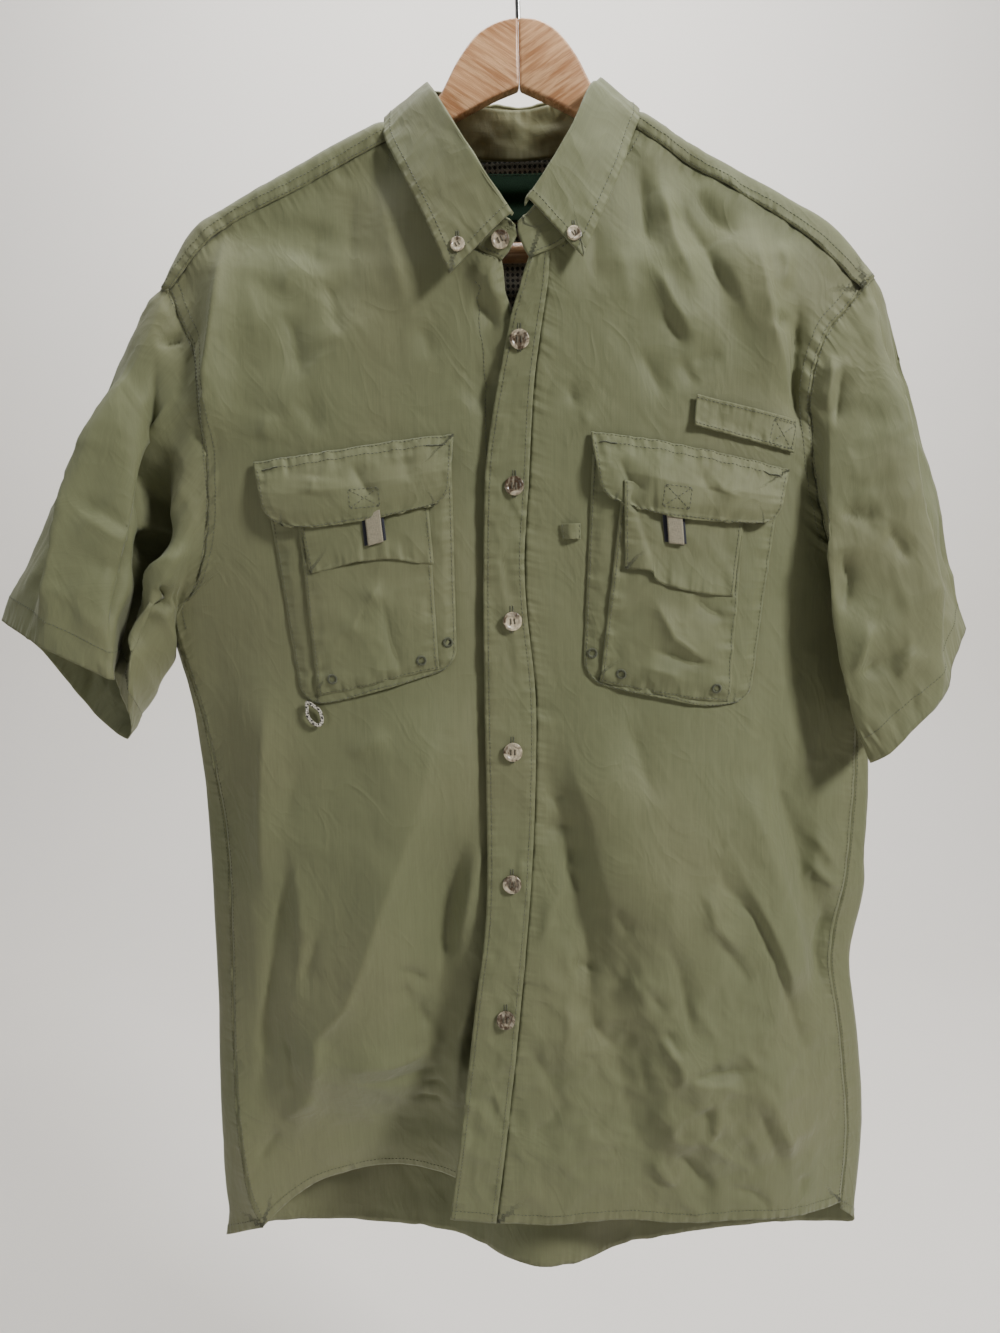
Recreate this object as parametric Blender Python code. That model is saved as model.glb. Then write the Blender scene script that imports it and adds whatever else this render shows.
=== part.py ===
import math

import bpy
import numpy as np

for item in list(bpy.data.objects):
    bpy.data.objects.remove(item, do_unlink=True)

# Sizes in millimetres. The origin is the inner top of the hanger's hook.
# X runs to the viewer's right, Y away from the viewer, Z up.
MM = 0.001
CLOTH = 1.2
PLACKET_THICK = 1.8
COLLAR_THICK = 1.6
SEAM_GAP = 0.4
LAYER_GAP = 0.8
BUTTON_ACROSS = 13.6
COLLAR_BUTTON_ACROSS = 10.0
BUTTON_THICK = 2.6
EYELET_ACROSS = 7.5
CORD_ACROSS = 2.6
HANGER_THICK = 13.0
HANGER_BAR_ACROSS = 14.0
HANGER_BAR_LONG = 361.0
HOOK_WIRE = 3.6
HOOK_RADIUS = 21.0
POCKET_PUFF = 3.0

# Depth of the shirt front behind the viewer's side of the hanger plane.
# One row per height; the columns are y at these distances from the centre.
DEPTH_X = (0.0, 60.0, 120.0, 180.0, 240.0)
# columns: z, y at each of DEPTH_X
DEPTH_RIGHT = (
    (-130.0, -8.0, -9.0, -9.5, -9.5, -9.5),
    (-170.0, -22.0, -15.0, -10.0, -9.5, -9.5),
    (-205.0, -30.0, -25.0, -16.0, -10.5, -9.5),
    (-240.0, -33.0, -31.0, -24.0, -16.0, -9.5),
    (-290.0, -32.0, -32.0, -29.0, -23.0, -15.0),
    (-350.0, -29.0, -32.0, -31.0, -28.0, -20.0),
    (-420.0, -29.0, -33.0, -33.0, -29.0, -20.0),
    (-500.0, -33.0, -36.0, -36.0, -30.0, -12.0),
    (-580.0, -36.0, -39.0, -40.0, -33.0, -9.0),
    (-660.0, -37.0, -37.0, -42.0, -34.0, -8.0),
    (-740.0, -38.0, -32.0, -40.0, -35.0, -9.0),
    (-820.0, -40.0, -24.0, -34.0, -32.0, -12.0),
    (-900.0, -42.0, -12.0, 0.0, -9.0, -16.0),
    (-980.0, -42.0, 12.0, 28.0, 8.0, -20.0),
)
# columns: z, y at each of DEPTH_X
DEPTH_LEFT = (
    (-130.0, -9.0, -9.5, -9.5, -9.5, -9.5),
    (-170.0, -26.0, -17.0, -10.0, -9.5, -9.5),
    (-205.0, -36.0, -27.0, -17.0, -11.0, -9.5),
    (-240.0, -38.0, -34.0, -26.0, -17.0, -9.5),
    (-290.0, -37.0, -35.0, -31.0, -24.0, -13.0),
    (-350.0, -35.0, -35.0, -33.0, -28.0, -16.0),
    (-420.0, -35.0, -36.0, -34.0, -28.0, -10.0),
    (-500.0, -38.0, -38.0, -37.0, -24.0, 0.0),
    (-580.0, -41.0, -41.0, -41.0, -26.0, -2.0),
    (-660.0, -43.0, -44.0, -45.0, -31.0, -6.0),
    (-740.0, -45.0, -45.0, -48.0, -35.0, -8.0),
    (-820.0, -48.0, -46.0, -48.0, -38.0, -9.0),
    (-900.0, -50.0, -47.0, -46.0, -40.0, -9.0),
    (-980.0, -52.0, -49.0, -44.0, -40.0, -6.0),
)

# Folds: columns are x and z at the top, x and z at the low end, half width, lift
# (a lift above nought stands towards the viewer).
FOLDS_RIGHT = (
    (-222.0, -215.0, -221.0, -350.0, 10.0, 4.0),
    (-70.0, -540.0, -140.0, -860.0, 26.0, 8.0),
    (-66.0, -640.0, -96.0, -930.0, 22.0, -8.0),
    (-45.0, -650.0, -62.0, -840.0, 9.0, 4.0),
    (-205.0, -520.0, -207.0, -790.0, 14.0, 5.0),
    (-186.0, -630.0, -216.0, -880.0, 11.0, -3.5),
    (-120.0, -260.0, -175.0, -340.0, 20.0, 3.0),
)
FOLDS_LEFT = (
    (22.0, -530.0, 97.0, -930.0, 14.0, -7.0),
    (58.0, -560.0, 118.0, -900.0, 26.0, 7.0),
    (190.0, -600.0, 222.0, -790.0, 14.0, -7.0),
    (160.0, -610.0, 203.0, -780.0, 12.0, 5.0),
    (88.0, -155.0, 128.0, -300.0, 13.0, 3.5),
    (122.0, -180.0, 192.0, -325.0, 15.0, 4.0),
    (104.0, -160.0, 160.0, -310.0, 12.0, -3.0),
    (170.0, -820.0, 190.0, -900.0, 16.0, 4.0),
)
FOLDS_BACK = (
    (-120.0, -330.0, -150.0, -940.0, 22.0, -7.0),
    (-40.0, -420.0, -70.0, -980.0, 24.0, 8.0),
    (45.0, -360.0, 40.0, -960.0, 20.0, -7.0),
    (120.0, -330.0, 165.0, -960.0, 26.0, 8.0),
    (185.0, -520.0, 200.0, -900.0, 16.0, -6.0),
    (-195.0, -500.0, -205.0, -900.0, 16.0, 6.0),
)

# Cut of the wearer's right front, the viewer's left: columns x, z.
RIGHT_YOKE_SEAM = ((-252, -247), (-224, -217), (-201, -201), (-161, -183), (-122, -164), (-86, -147))
RIGHT_ARMHOLE = ((-252, -247), (-243, -270), (-233, -295), (-230, -345), (-230, -391), (-235, -431), (-248, -463), (-264, -483))
RIGHT_SIDE = ((-264, -483), (-246, -560), (-234, -640), (-233, -698), (-236, -780), (-238, -863), (-233, -932), (-224, -971))
RIGHT_HEM = ((-224, -971), (-205, -955), (-179, -940), (-148, -935), (-115, -936), (-85, -941), (-60, -946), (-30, -948), (-5, -948))
RIGHT_NECK = ((-86, -147), (-78, -160), (-64, -190), (-50, -215), (-35, -236), (-14, -244))
RIGHT_CENTRE = ((-14, -244), (-14, -258), (-9, -274), (-5, -310), (-5, -500), (-5, -700), (-5, -850), (-5, -948))

# Cut of the wearer's left front, the viewer's right, with the placket's two edges.
LEFT_YOKE_SEAM = ((80, -146), (118, -171), (163, -197), (188, -212), (213, -231), (225, -243), (240, -257))
LEFT_ARMHOLE = ((240, -257), (228, -272), (213, -289), (203, -320), (202, -355), (206, -390), (216, -430), (240, -480))
LEFT_SIDE = ((240, -480), (247, -560), (246, -620), (240, -686), (229, -754), (237, -824), (245, -901), (242, -966))
LEFT_HEM = ((-36, -943), (0, -946), (33, -945), (66, -946), (101, -951), (133, -951), (166, -952), (192, -956), (225, -964), (242, -966))
LEFT_NECK = ((19, -235), (36, -222), (52, -198), (66, -172), (80, -146))
PLACKET_OUTER = ((3, -238), (-1, -248), (-4, -258), (-10, -275), (-16, -302), (-25, -345), (-31, -390), (-34, -470), (-35, -542), (-37, -690), (-48, -775), (-60, -865), (-71, -939))
PLACKET_INNER = ((19, -235), (14, -265), (8, -300), (4, -332), (0, -390), (-4, -440), (-3, -480), (2, -543), (0, -617), (-5, -690), (-14, -775), (-25, -865), (-36, -943))

# Collar stations from the wearer's right end round the back of the neck to the left end.
# columns: stand foot x y z, stand top x y z, leaf fold x y z, leaf edge x y z
COLLAR = (
    ((-13, -41, -240), (-9, -42, -217), (-7, -47, -211), (-51, -49, -250)),
    ((-33, -37, -229), (-24, -40, -196), (-24, -45, -186), (-66, -42, -214)),
    ((-60, -28, -192), (-41, -33, -165), (-41, -38, -157), (-80, -31, -183)),
    ((-77, -16, -155), (-56, -20, -134), (-57, -24, -127), (-93, -17, -154)),
    ((-80, -10.5, -137), (-60, -11, -122), (-62, -13, -116), (-95, -14, -145)),
    ((-81, -1, -127), (-62, -1, -116), (-64, -2, -110), (-95, 2, -131)),
    ((-78, 17, -131), (-58, 19, -112), (-61, 21, -106), (-92, 27, -143)),
    ((-50, 41, -138), (-38, 39, -109), (-40, 43, -104), (-62, 53, -151)),
    ((0, 50, -141), (0, 47, -111), (0, 51, -106), (0, 62, -154)),
    ((46, 41, -137), (35, 39, -108), (37, 43, -103), (58, 53, -149)),
    ((68, 17, -129), (49, 19, -111), (51, 21, -106), (81, 26, -141)),
    ((71, -1, -125), (55, -1, -115), (56.5, -2, -109.5), (84, 2, -129.5)),
    ((70, -10.5, -135), (52, -11, -122), (53, -13, -116), (82, -14, -142)),
    ((67, -16, -153), (47, -20, -131), (47, -24, -124), (79, -17, -149)),
    ((54, -29, -190), (34, -34, -163), (33, -38, -154), (67, -32, -181)),
    ((30, -39, -226), (16, -41, -194), (16, -45, -182), (53, -42, -211)),
    ((2, -42, -239), (-3, -43, -215), (2, -48, -203), (39, -49, -241)),
)

# Yoke stations from the wearer's right armhole to the left one.
# columns: front or neck edge x y z, crest x y z, upper back x y z, back seam x y z
YOKE = (
    ((-250.5, -10, -246.0), (-260.5, 1, -242.5), (-254, 18, -266), (-240, 24, -302)),
    ((-224, -10, -216), (-236, 0, -205), (-232, 16, -235), (-222, 27, -301)),
    ((-201, -10, -200), (-206, 0, -187.5), (-205, 15, -215), (-200, 29, -300)),
    ((-161, -10, -182), (-163, 0, -166), (-163, 17, -196), (-160, 31, -300)),
    ((-122, -10.5, -163), (-120, 0, -145.5), (-122, 22, -180), (-121, 33, -300)),
    ((-87, -11, -146), (-95, 1, -135), (-92, 27, -166), (-92, 34, -300)),
    ((-80, 17, -134), (-84, 22, -140), (-80, 33, -168), (-78, 35, -300)),
    ((-51, 43, -140), (-52, 46, -150), (-52, 45, -185), (-50, 36, -300)),
    ((0, 52, -144), (0, 54, -154), (0, 50, -190), (0, 37, -300)),
    ((47, 43, -139), (48, 46, -149), (48, 45, -184), (48, 36, -300)),
    ((70, 17, -132), (74, 22, -138), (72, 33, -166), (72, 35, -300)),
    ((80.5, -11, -145), (86, 1, -133), (84, 27, -164), (86, 34, -300)),
    ((118, -10.5, -170), (117, 0, -154), (118, 20, -186), (118, 33, -300)),
    ((163, -10, -196), (160, 0, -178), (160, 17, -206), (158, 31, -300)),
    ((188, -10, -211), (193, 0, -195), (190, 15, -222), (188, 29, -300)),
    ((213, -10, -230), (224, 0, -214), (218, 15, -242), (214, 27, -301)),
    ((240, -10, -256.4), (253, 1, -247), (246, 17, -268), (238, 24, -302)),
)

# The back below its yoke: one row per height.
# columns: z at the seam, z at the middle, right edge x y, right silhouette x y,
# left silhouette x y, left edge x y, then y at five places from right to left
BACK = (
    (-302.6, -300.6, -240, 24, -236, 25, 234, 25, 238, 24, 33, 36, 37, 36, 33),
    (-350, -350, -237, 24, -234, 26, 228, 26, 232, 24, 33, 36, 36, 36, 33),
    (-400, -400, -238, 21, -236, 26, 226, 26, 229, 22, 33, 35, 35, 35, 33),
    (-450, -450, -250, 12, -248, 22, 232, 22, 234, 15, 32, 34, 34, 34, 32),
    (-484, -490, -264.5, 0, -266, 10, 246, 14, 242, 6, 31, 33, 33, 33, 31),
    (-560, -560, -247, -9, -256, 6, 259, 12, 248.5, 2, 32, 33, 32, 33, 32),
    (-640, -640, -235, -9, -251, 6, 261, 8, 247.5, -3, 34, 34, 31, 32, 33),
    (-710, -710, -234, -9, -251, 6, 259, 8, 238, -7, 35, 35, 29, 31, 33),
    (-780, -780, -237, -9, -252, 7, 250, 6, 233, -8, 36, 36, 25, 29, 32),
    (-860, -860, -239, -12, -256, 7, 260, 7, 243, -9, 38, 35, 14, 24, 28),
    (-930, -935, -234, -16, -258, 8, 262, 8, 246.5, -8, 39, 32, -3, 14, 22),
    (-972, -1006, -225.5, -19, -261, 10, 259, 9, 243.5, -6, 38, 26, -20, 8, 18),
)

# Sleeves: a row per ring from the armhole to the hem. The eight corners are the back
# edge, front crease, front middle, valley, under lobe, underarm fold, low back, upper back.
SLEEVE_RIGHT = (
    ((-263.5, 1, -243), (-253, -11, -249), (-234.5, -16, -295), (-231.5, -21, -345), (-231.5, -21, -391), (-265, -5, -484), (-239, 22, -400), (-241, 24, -302)),
    ((-272, 4, -256), (-263, -17, -275), (-250, -24, -318), (-247, -22, -350), (-240, -25, -410), (-266, -4, -492), (-252, 25, -405), (-252, 24, -310)),
    ((-305, 8, -310), (-290, -26, -325), (-270, -32, -358), (-268, -20, -390), (-252, -27, -430), (-268, -2, -500), (-280, 27, -430), (-290, 24, -345)),
    ((-340, 9, -371), (-316, -31, -376), (-281, -34, -405), (-279, -13, -430), (-264, -32, -455), (-268, 1, -512), (-298, 27, -470), (-322, 24, -400)),
    ((-372, 10, -427), (-342, -34, -436), (-296, -38, -462), (-297, -8, -474), (-283, -37, -488), (-281, 2, -530), (-318, 26, -507), (-352, 23, -450)),
    ((-388, 11, -455), (-350, -35, -468), (-302, -40, -494), (-305, -6, -500), (-290, -38, -522), (-293, 3, -550), (-328, 25, -530), (-366, 22, -478)),
    ((-401, 12, -481), (-355, -35, -495), (-303, -40, -521), (-313, -8, -520), (-297, -24, -546), (-309, 2, -573), (-341, 22, -556), (-377, 20, -505)),
)
SLEEVE_LEFT = (
    ((255, 1, -247), (241.5, -11, -259), (214.5, -16.5, -290), (203.5, -21, -330), (207.5, -20, -390), (241, 4, -482), (230, 22, -400), (239, 24, -302)),
    ((262, 6, -262), (250, -19, -285), (227, -26, -315), (211, -30, -350), (210, -30, -404), (243, -4, -478), (240, 24, -405), (247, 24, -312)),
    ((279, 12, -305), (257, -30, -335), (232, -38, -365), (211, -40, -395), (211, -40, -432), (243, -13, -480), (262, 22, -425), (266, 24, -345)),
    ((297, 16, -360), (264, -36, -388), (240, -44, -412), (212, -44, -440), (213, -42, -476), (242, -17, -500), (274, 18, -455), (286, 24, -395)),
    ((313, 18, -415), (277, -39, -440), (248, -46, -462), (216, -46, -486), (220, -42, -520), (246, -19, -535), (284, 14, -492), (301, 23, -440)),
    ((326, 20, -470), (289, -39, -496), (258, -46, -515), (226, -46, -540), (231, -41, -562), (254, -20, -568), (292, 10, -530), (314, 23, -480)),
    ((338, 20, -505), (295, -38, -550), (272, -46, -570), (255, -47, -587), (244, -40, -595), (262, -20, -586), (297, 6, -553), (322, 20, -520)),
)

# Hanger arm outline on the wearer's left, mirrored for the other: columns x, z.
HANGER_TOP = ((0.2, -70.5), (14, -72.5), (27, -80), (40, -96), (52, -118), (67, -136), (82, -146.5), (97, -153.5), (150, -179), (190, -197.5), (208, -208), (214, -217))
HANGER_LOW = ((211, -229), (196, -233), (183, -222), (150, -197), (97, -167), (46, -137), (20, -124), (0.2, -115))
HANGER_TOP_RIGHT = ((0.2, -70.5), (14, -73), (29, -81), (43, -98), (56, -120), (70, -135), (85, -144), (99, -150.5), (150, -170), (190, -184.5), (210, -196), (217, -206))
HANGER_LOW_RIGHT = ((214, -227), (199, -233), (186, -219), (150, -193), (99, -162), (46, -135), (20, -122.5), (0.2, -115))

# Pockets. The wearer's right pocket is named first. Corner columns: x, z.
FLAP_RIGHT_TOP = ((-194, -370), (-160, -366), (-120, -361), (-85, -357), (-52, -354))
FLAP_RIGHT_LOW = ((-186, -411), (-160, -416), (-126, -414), (-96, -409), (-56, -400))
POCKET_RIGHT_TOP = ((-187, -384), (-150, -380), (-120, -377), (-85, -373), (-54, -370))
POCKET_RIGHT_LOW = ((-167, -540), (-150, -542), (-124, -537), (-93, -529), (-54, -517))
CENTRE_RIGHT_TOP = ((-164, -396), (-140, -393), (-115, -390), (-72, -386))
CENTRE_RIGHT_LOW = ((-154, -537), (-125, -532), (-96, -525), (-67, -519))
FLAP_LEFT_TOP = ((44, -355), (80, -360), (115, -367), (150, -375), (185, -384))
FLAP_LEFT_LOW = ((50, -399), (84, -411), (110, -417), (145, -420), (174, -421))
POCKET_LEFT_TOP = ((45, -370), (80, -375), (112, -382), (145, -389), (178, -397))
POCKET_LEFT_LOW = ((36, -527), (60, -536), (95, -544), (125, -550), (158, -548))
CENTRE_LEFT_TOP = ((66, -389), (95, -393), (122, -398), (152, -404))
CENTRE_LEFT_LOW = ((48, -531), (78, -538), (108, -544), (141, -548))
TAB_RIGHT = ((-118, -404), (-102, -403), (-116, -431), (-100, -427))
TAB_LEFT = ((92, -405), (108, -407), (94, -433), (110, -435))
STRAP = ((118, -331), (191, -349), (116, -352), (188, -372))
UTILITY_LOOP = ((22, -418), (36, -418), (23, -429), (36, -429))
LABEL = ((-28, -150), (32, -150), (-28, -186), (32, -186))
# columns: side, x, z, the layer it is sewn through
EYELETS = (
    ("right", -143, -524, "centre"),
    ("right", -79, -512, "centre"),
    ("right", -60, -500, "bag"),
    ("left", 43, -510, "bag"),
    ("left", 63, -525, "centre"),
    ("left", 131, -537, "centre"),
)
BUTTONS = ((-4.5, -292), (-10, -391), (-14, -486), (-15.5, -580), (-18, -678), (-25, -781))
COLLAR_BUTTONS = (("right", -45, -231), ("left", 33, -226))
STAND_BUTTON = (-16, -227)
CORD_LOOP = (-158, -548.9, 21.0, 12.0, 62.0)


def material(name, colour, roughness, metallic):
    made = bpy.data.materials.new(name)
    made.use_nodes = True
    shader = made.node_tree.nodes["Principled BSDF"]
    shader.inputs["Base Color"].default_value = (*colour, 1.0)
    shader.inputs["Roughness"].default_value = roughness
    shader.inputs["Metallic"].default_value = metallic
    made.diffuse_color = (*colour, 1.0)
    return made


GREEN_CLOTH = material("green_cloth", (0.165, 0.185, 0.105), 0.75, 0.0)
MESH_CLOTH = material("mesh_cloth", (0.075, 0.065, 0.045), 0.85, 0.0)
LABEL_CLOTH = material("label_cloth", (0.012, 0.04, 0.02), 0.7, 0.0)
TAB_TAPE = material("tab_tape", (0.23, 0.21, 0.14), 0.8, 0.0)
CORD = material("cord", (0.6, 0.56, 0.45), 0.8, 0.0)
HORN = material("horn", (0.55, 0.48, 0.36), 0.3, 0.0)
EYELET = material("eyelet", (0.11, 0.12, 0.07), 0.7, 0.0)
WOOD = material("wood", (0.5, 0.24, 0.1), 0.35, 0.0)
STEEL = material("steel", (0.6, 0.6, 0.6), 0.3, 1.0)


def solid(name, points, faces, finish):
    """A named mesh object from points in millimetres."""
    mesh = bpy.data.meshes.new(name)
    mesh.from_pydata([tuple(float(c) * MM for c in p) for p in points], [], [tuple(int(i) for i in f) for f in faces])
    mesh.update()
    made = bpy.data.objects.new(name, mesh)
    bpy.context.scene.collection.objects.link(made)
    mesh.materials.append(finish)
    return made


def smooth_line(points, count, closed=False):
    """Points evenly stepped along a smooth curve through the given ones."""
    p = np.array(points, float)
    n = len(p)
    last = n if closed else n - 1
    fine = []
    for i in range(last):
        a = p[(i - 1) % n] if closed or i > 0 else 2 * p[0] - p[1]
        b = p[i]
        c = p[(i + 1) % n]
        d = p[(i + 2) % n] if closed or i + 2 < n else 2 * p[-1] - p[-2]
        for t in np.linspace(0, 1, 12, endpoint=False):
            fine.append(0.5 * (2 * b + (c - a) * t + (2 * a - 5 * b + 4 * c - d) * t ** 2 + (3 * b - a - 3 * c + d) * t ** 3))
    fine.append(p[0] if closed else p[-1])
    fine = np.array(fine)
    run = np.concatenate([[0], np.cumsum(np.linalg.norm(np.diff(fine, axis=0), axis=1))])
    at = np.linspace(0, run[-1], count + 1)[:-1] if closed else np.linspace(0, run[-1], count)
    return np.stack([np.interp(at, run, fine[:, k]) for k in range(fine.shape[1])], axis=1)


def through_stations(rows, count):
    """Steps smoothly across stations: each row is an array of points, the result has count rows."""
    p = np.array(rows, float)
    n = len(p)
    out = []
    for s in np.linspace(0, n - 1, count):
        i = min(int(s), n - 2)
        t = s - i
        a = p[i - 1] if i > 0 else 2 * p[0] - p[1]
        b = p[i]
        c = p[i + 1]
        d = p[i + 2] if i + 2 < n else 2 * p[-1] - p[-2]
        out.append(0.5 * (2 * b + (c - a) * t + (2 * a - 5 * b + 4 * c - d) * t ** 2 + (3 * b - a - 3 * c + d) * t ** 3))
    return np.array(out)


def corner_line(corners, per_side):
    """A closed ring with the same number of steps from each corner to the next."""
    p = np.array(corners, float)
    n = len(p)
    out = []
    for i in range(n):
        a, b, c, d = p[i - 1], p[i], p[(i + 1) % n], p[(i + 2) % n]
        for t in np.linspace(0, 1, per_side, endpoint=False):
            curve = 0.5 * (2 * b + (c - a) * t + (2 * a - 5 * b + 4 * c - d) * t ** 2 + (3 * b - a - 3 * c + d) * t ** 3)
            out.append(0.55 * curve + 0.45 * (b + (c - b) * t))
    return np.array(out)


def fold_lift(folds, x, z):
    """How far the folds stand out at a place."""
    total = 0.0
    for x0, z0, x1, z1, half_width, lift in folds:
        dx, dz = x1 - x0, z1 - z0
        length = math.hypot(dx, dz)
        along = ((x - x0) * dx + (z - z0) * dz) / length ** 2
        across = ((x - x0) * dz - (z - z0) * dx) / length
        reach = min(1.0, max(0.0, 1.15 - abs(along - 0.5) * 2) / 0.45)
        reach = reach * reach * (3 - 2 * reach)
        total += lift * reach * math.exp(-0.5 * (across / half_width) ** 2)
    return total


def table_depth(table, x, z):
    rows = np.array(table, float)
    heights = rows[:, 0]
    s = np.interp(-z, -heights, np.arange(len(rows)))
    i = min(int(s), len(rows) - 2)
    t = s - i
    t = t * t * (3 - 2 * t) * 0.5 + t * 0.5
    line = rows[i, 1:] * (1 - t) + rows[i + 1, 1:] * t
    u = min(max(x / 60.0, 0.0), 4.3)
    k = min(int(u), 3)
    w = u - k
    a = line[k - 1] if k > 0 else line[1]
    b = line[k]
    c = line[k + 1]
    d = line[k + 2] if k < 3 else 2 * line[4] - line[3]
    return 0.5 * (2 * b + (c - a) * w + (2 * a - 5 * b + 4 * c - d) * w ** 2 + (3 * b - a - 3 * c + d) * w ** 3)


def edge_x(line, z):
    p = np.array(line, float)
    order = np.argsort(p[:, 1])
    return float(np.interp(z, p[order, 1], p[order, 0]))


def left_depth(x, z):
    return table_depth(DEPTH_LEFT, max(x, 0.0), z) - fold_lift(FOLDS_LEFT, x, z)


def right_depth(x, z):
    y = table_depth(DEPTH_RIGHT, max(-x, 0.0), z) - fold_lift(FOLDS_RIGHT, x, z)
    if z < -255:
        cover = edge_x(PLACKET_OUTER, z)
        near = min(1.0, max(0.0, (x - cover + 12.0) / 14.0))
        behind = left_depth(cover, z) + 5.0
        y = y + near * max(0.0, behind - y)
    return y


def unit_normals(grid, closed):
    across = np.empty_like(grid)
    if closed:
        across = np.roll(grid, -1, axis=1) - np.roll(grid, 1, axis=1)
    else:
        across[:, 1:-1] = grid[:, 2:] - grid[:, :-2]
        across[:, 0] = grid[:, 1] - grid[:, 0]
        across[:, -1] = grid[:, -1] - grid[:, -2]
    down = np.empty_like(grid)
    down[1:-1] = grid[2:] - grid[:-2]
    down[0] = grid[1] - grid[0]
    down[-1] = grid[-1] - grid[-2]
    n = np.cross(down, across)
    return n / np.maximum(np.linalg.norm(n, axis=2, keepdims=True), 1e-9)


def wall(name, grid, thick, finish, closed=False, outward=-1.0):
    """A sheet of cloth: the grid is its outer face, the inner one lies a thickness behind."""
    grid = np.array(grid, float)
    n = unit_normals(grid, closed)
    inner = grid + n * thick * outward
    rows, cols = grid.shape[:2]
    points = list(grid.reshape(-1, 3)) + list(inner.reshape(-1, 3))
    half = rows * cols
    faces = []
    steps = cols if closed else cols - 1
    for i in range(rows - 1):
        for j in range(steps):
            k = (j + 1) % cols
            a, b, c, d = i * cols + j, i * cols + k, (i + 1) * cols + k, (i + 1) * cols + j
            faces.append((a, d, c, b))
            faces.append((half + a, half + b, half + c, half + d))
    for j in range(steps):
        k = (j + 1) % cols
        faces.append((j, k, half + k, half + j))
        a, b = (rows - 1) * cols + j, (rows - 1) * cols + k
        faces.append((b, a, half + a, half + b))
    if not closed:
        for i in range(rows - 1):
            a, b = i * cols, (i + 1) * cols
            faces.append((b, a, half + a, half + b))
            a, b = i * cols + cols - 1, (i + 1) * cols + cols - 1
            faces.append((a, b, half + b, half + a))
    if outward > 0:
        faces = [tuple(reversed(f)) for f in faces]
    return solid(name, points, faces, finish)


def patch(top, low, left, right, rows, cols):
    """A grid of x, z points inside four edge lines."""
    t = smooth_line(top, cols)
    b = smooth_line(low, cols)
    l = smooth_line(left, rows)
    r = smooth_line(right, rows)
    out = np.empty((rows, cols, 2))
    for i in range(rows):
        v = i / (rows - 1)
        for j in range(cols):
            u = j / (cols - 1)
            side = l[i] * (1 - u) + r[i] * u
            ends = t[j] * (1 - v) + b[j] * v
            corners = (t[0] * (1 - u) + t[-1] * u) * (1 - v) + (b[0] * (1 - u) + b[-1] * u) * v
            out[i, j] = side + ends - corners
    return out


def raised(flat, depth, lift):
    """Moves x, z points out from a panel: lift(u, v, x, z) is the distance in front of it."""
    rows, cols = flat.shape[:2]
    out = np.empty((rows, cols, 3))
    for i in range(rows):
        for j in range(cols):
            x, z = flat[i, j]
            out[i, j] = (x, depth(x, z) - lift(j / (cols - 1), i / (rows - 1), x, z), z)
    return out


def pocket_lift(u, v):
    """How far a pocket's bag swells: nought at its sewn edges."""
    return POCKET_PUFF * math.sin(math.pi * min(max(u, 0.0), 1.0)) * math.sin(math.pi * (0.12 + 0.76 * v)) ** 0.6


def front_panels():
    sides = (RIGHT_ARMHOLE + RIGHT_SIDE[1:])
    middle = (RIGHT_NECK + RIGHT_CENTRE[1:])
    flat = patch(RIGHT_YOKE_SEAM, RIGHT_HEM, sides, middle, 36, 12)
    right = raised(flat, right_depth, lambda u, v, x, z: 0.0)
    wall("front_right", right, CLOTH, GREEN_CLOTH)
    sides = (LEFT_ARMHOLE + LEFT_SIDE[1:])
    middle = (tuple(reversed(LEFT_NECK)) + PLACKET_INNER[1:])
    middle = tuple((x + SEAM_GAP, z) for x, z in middle)
    flat = patch(LEFT_YOKE_SEAM, LEFT_HEM, middle, sides, 36, 12)
    bands = patch((PLACKET_OUTER[0], PLACKET_INNER[0]), (PLACKET_OUTER[-1], PLACKET_INNER[-1]), PLACKET_OUTER, PLACKET_INNER, 36, 4)
    strip = raised(bands, left_depth, lambda u, v, x, z: 0.9)
    for row in flat:
        if row[0, 1] < -228:
            row[0, 0] = np.interp(-row[0, 1], -bands[:, -1, 1], bands[:, -1, 0]) + 0.6
    left = raised(flat, left_depth, lambda u, v, x, z: 0.0)
    wall("front_left", left, CLOTH, GREEN_CLOTH)
    wall("placket", strip, PLACKET_THICK, GREEN_CLOTH)
    return right, left


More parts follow.
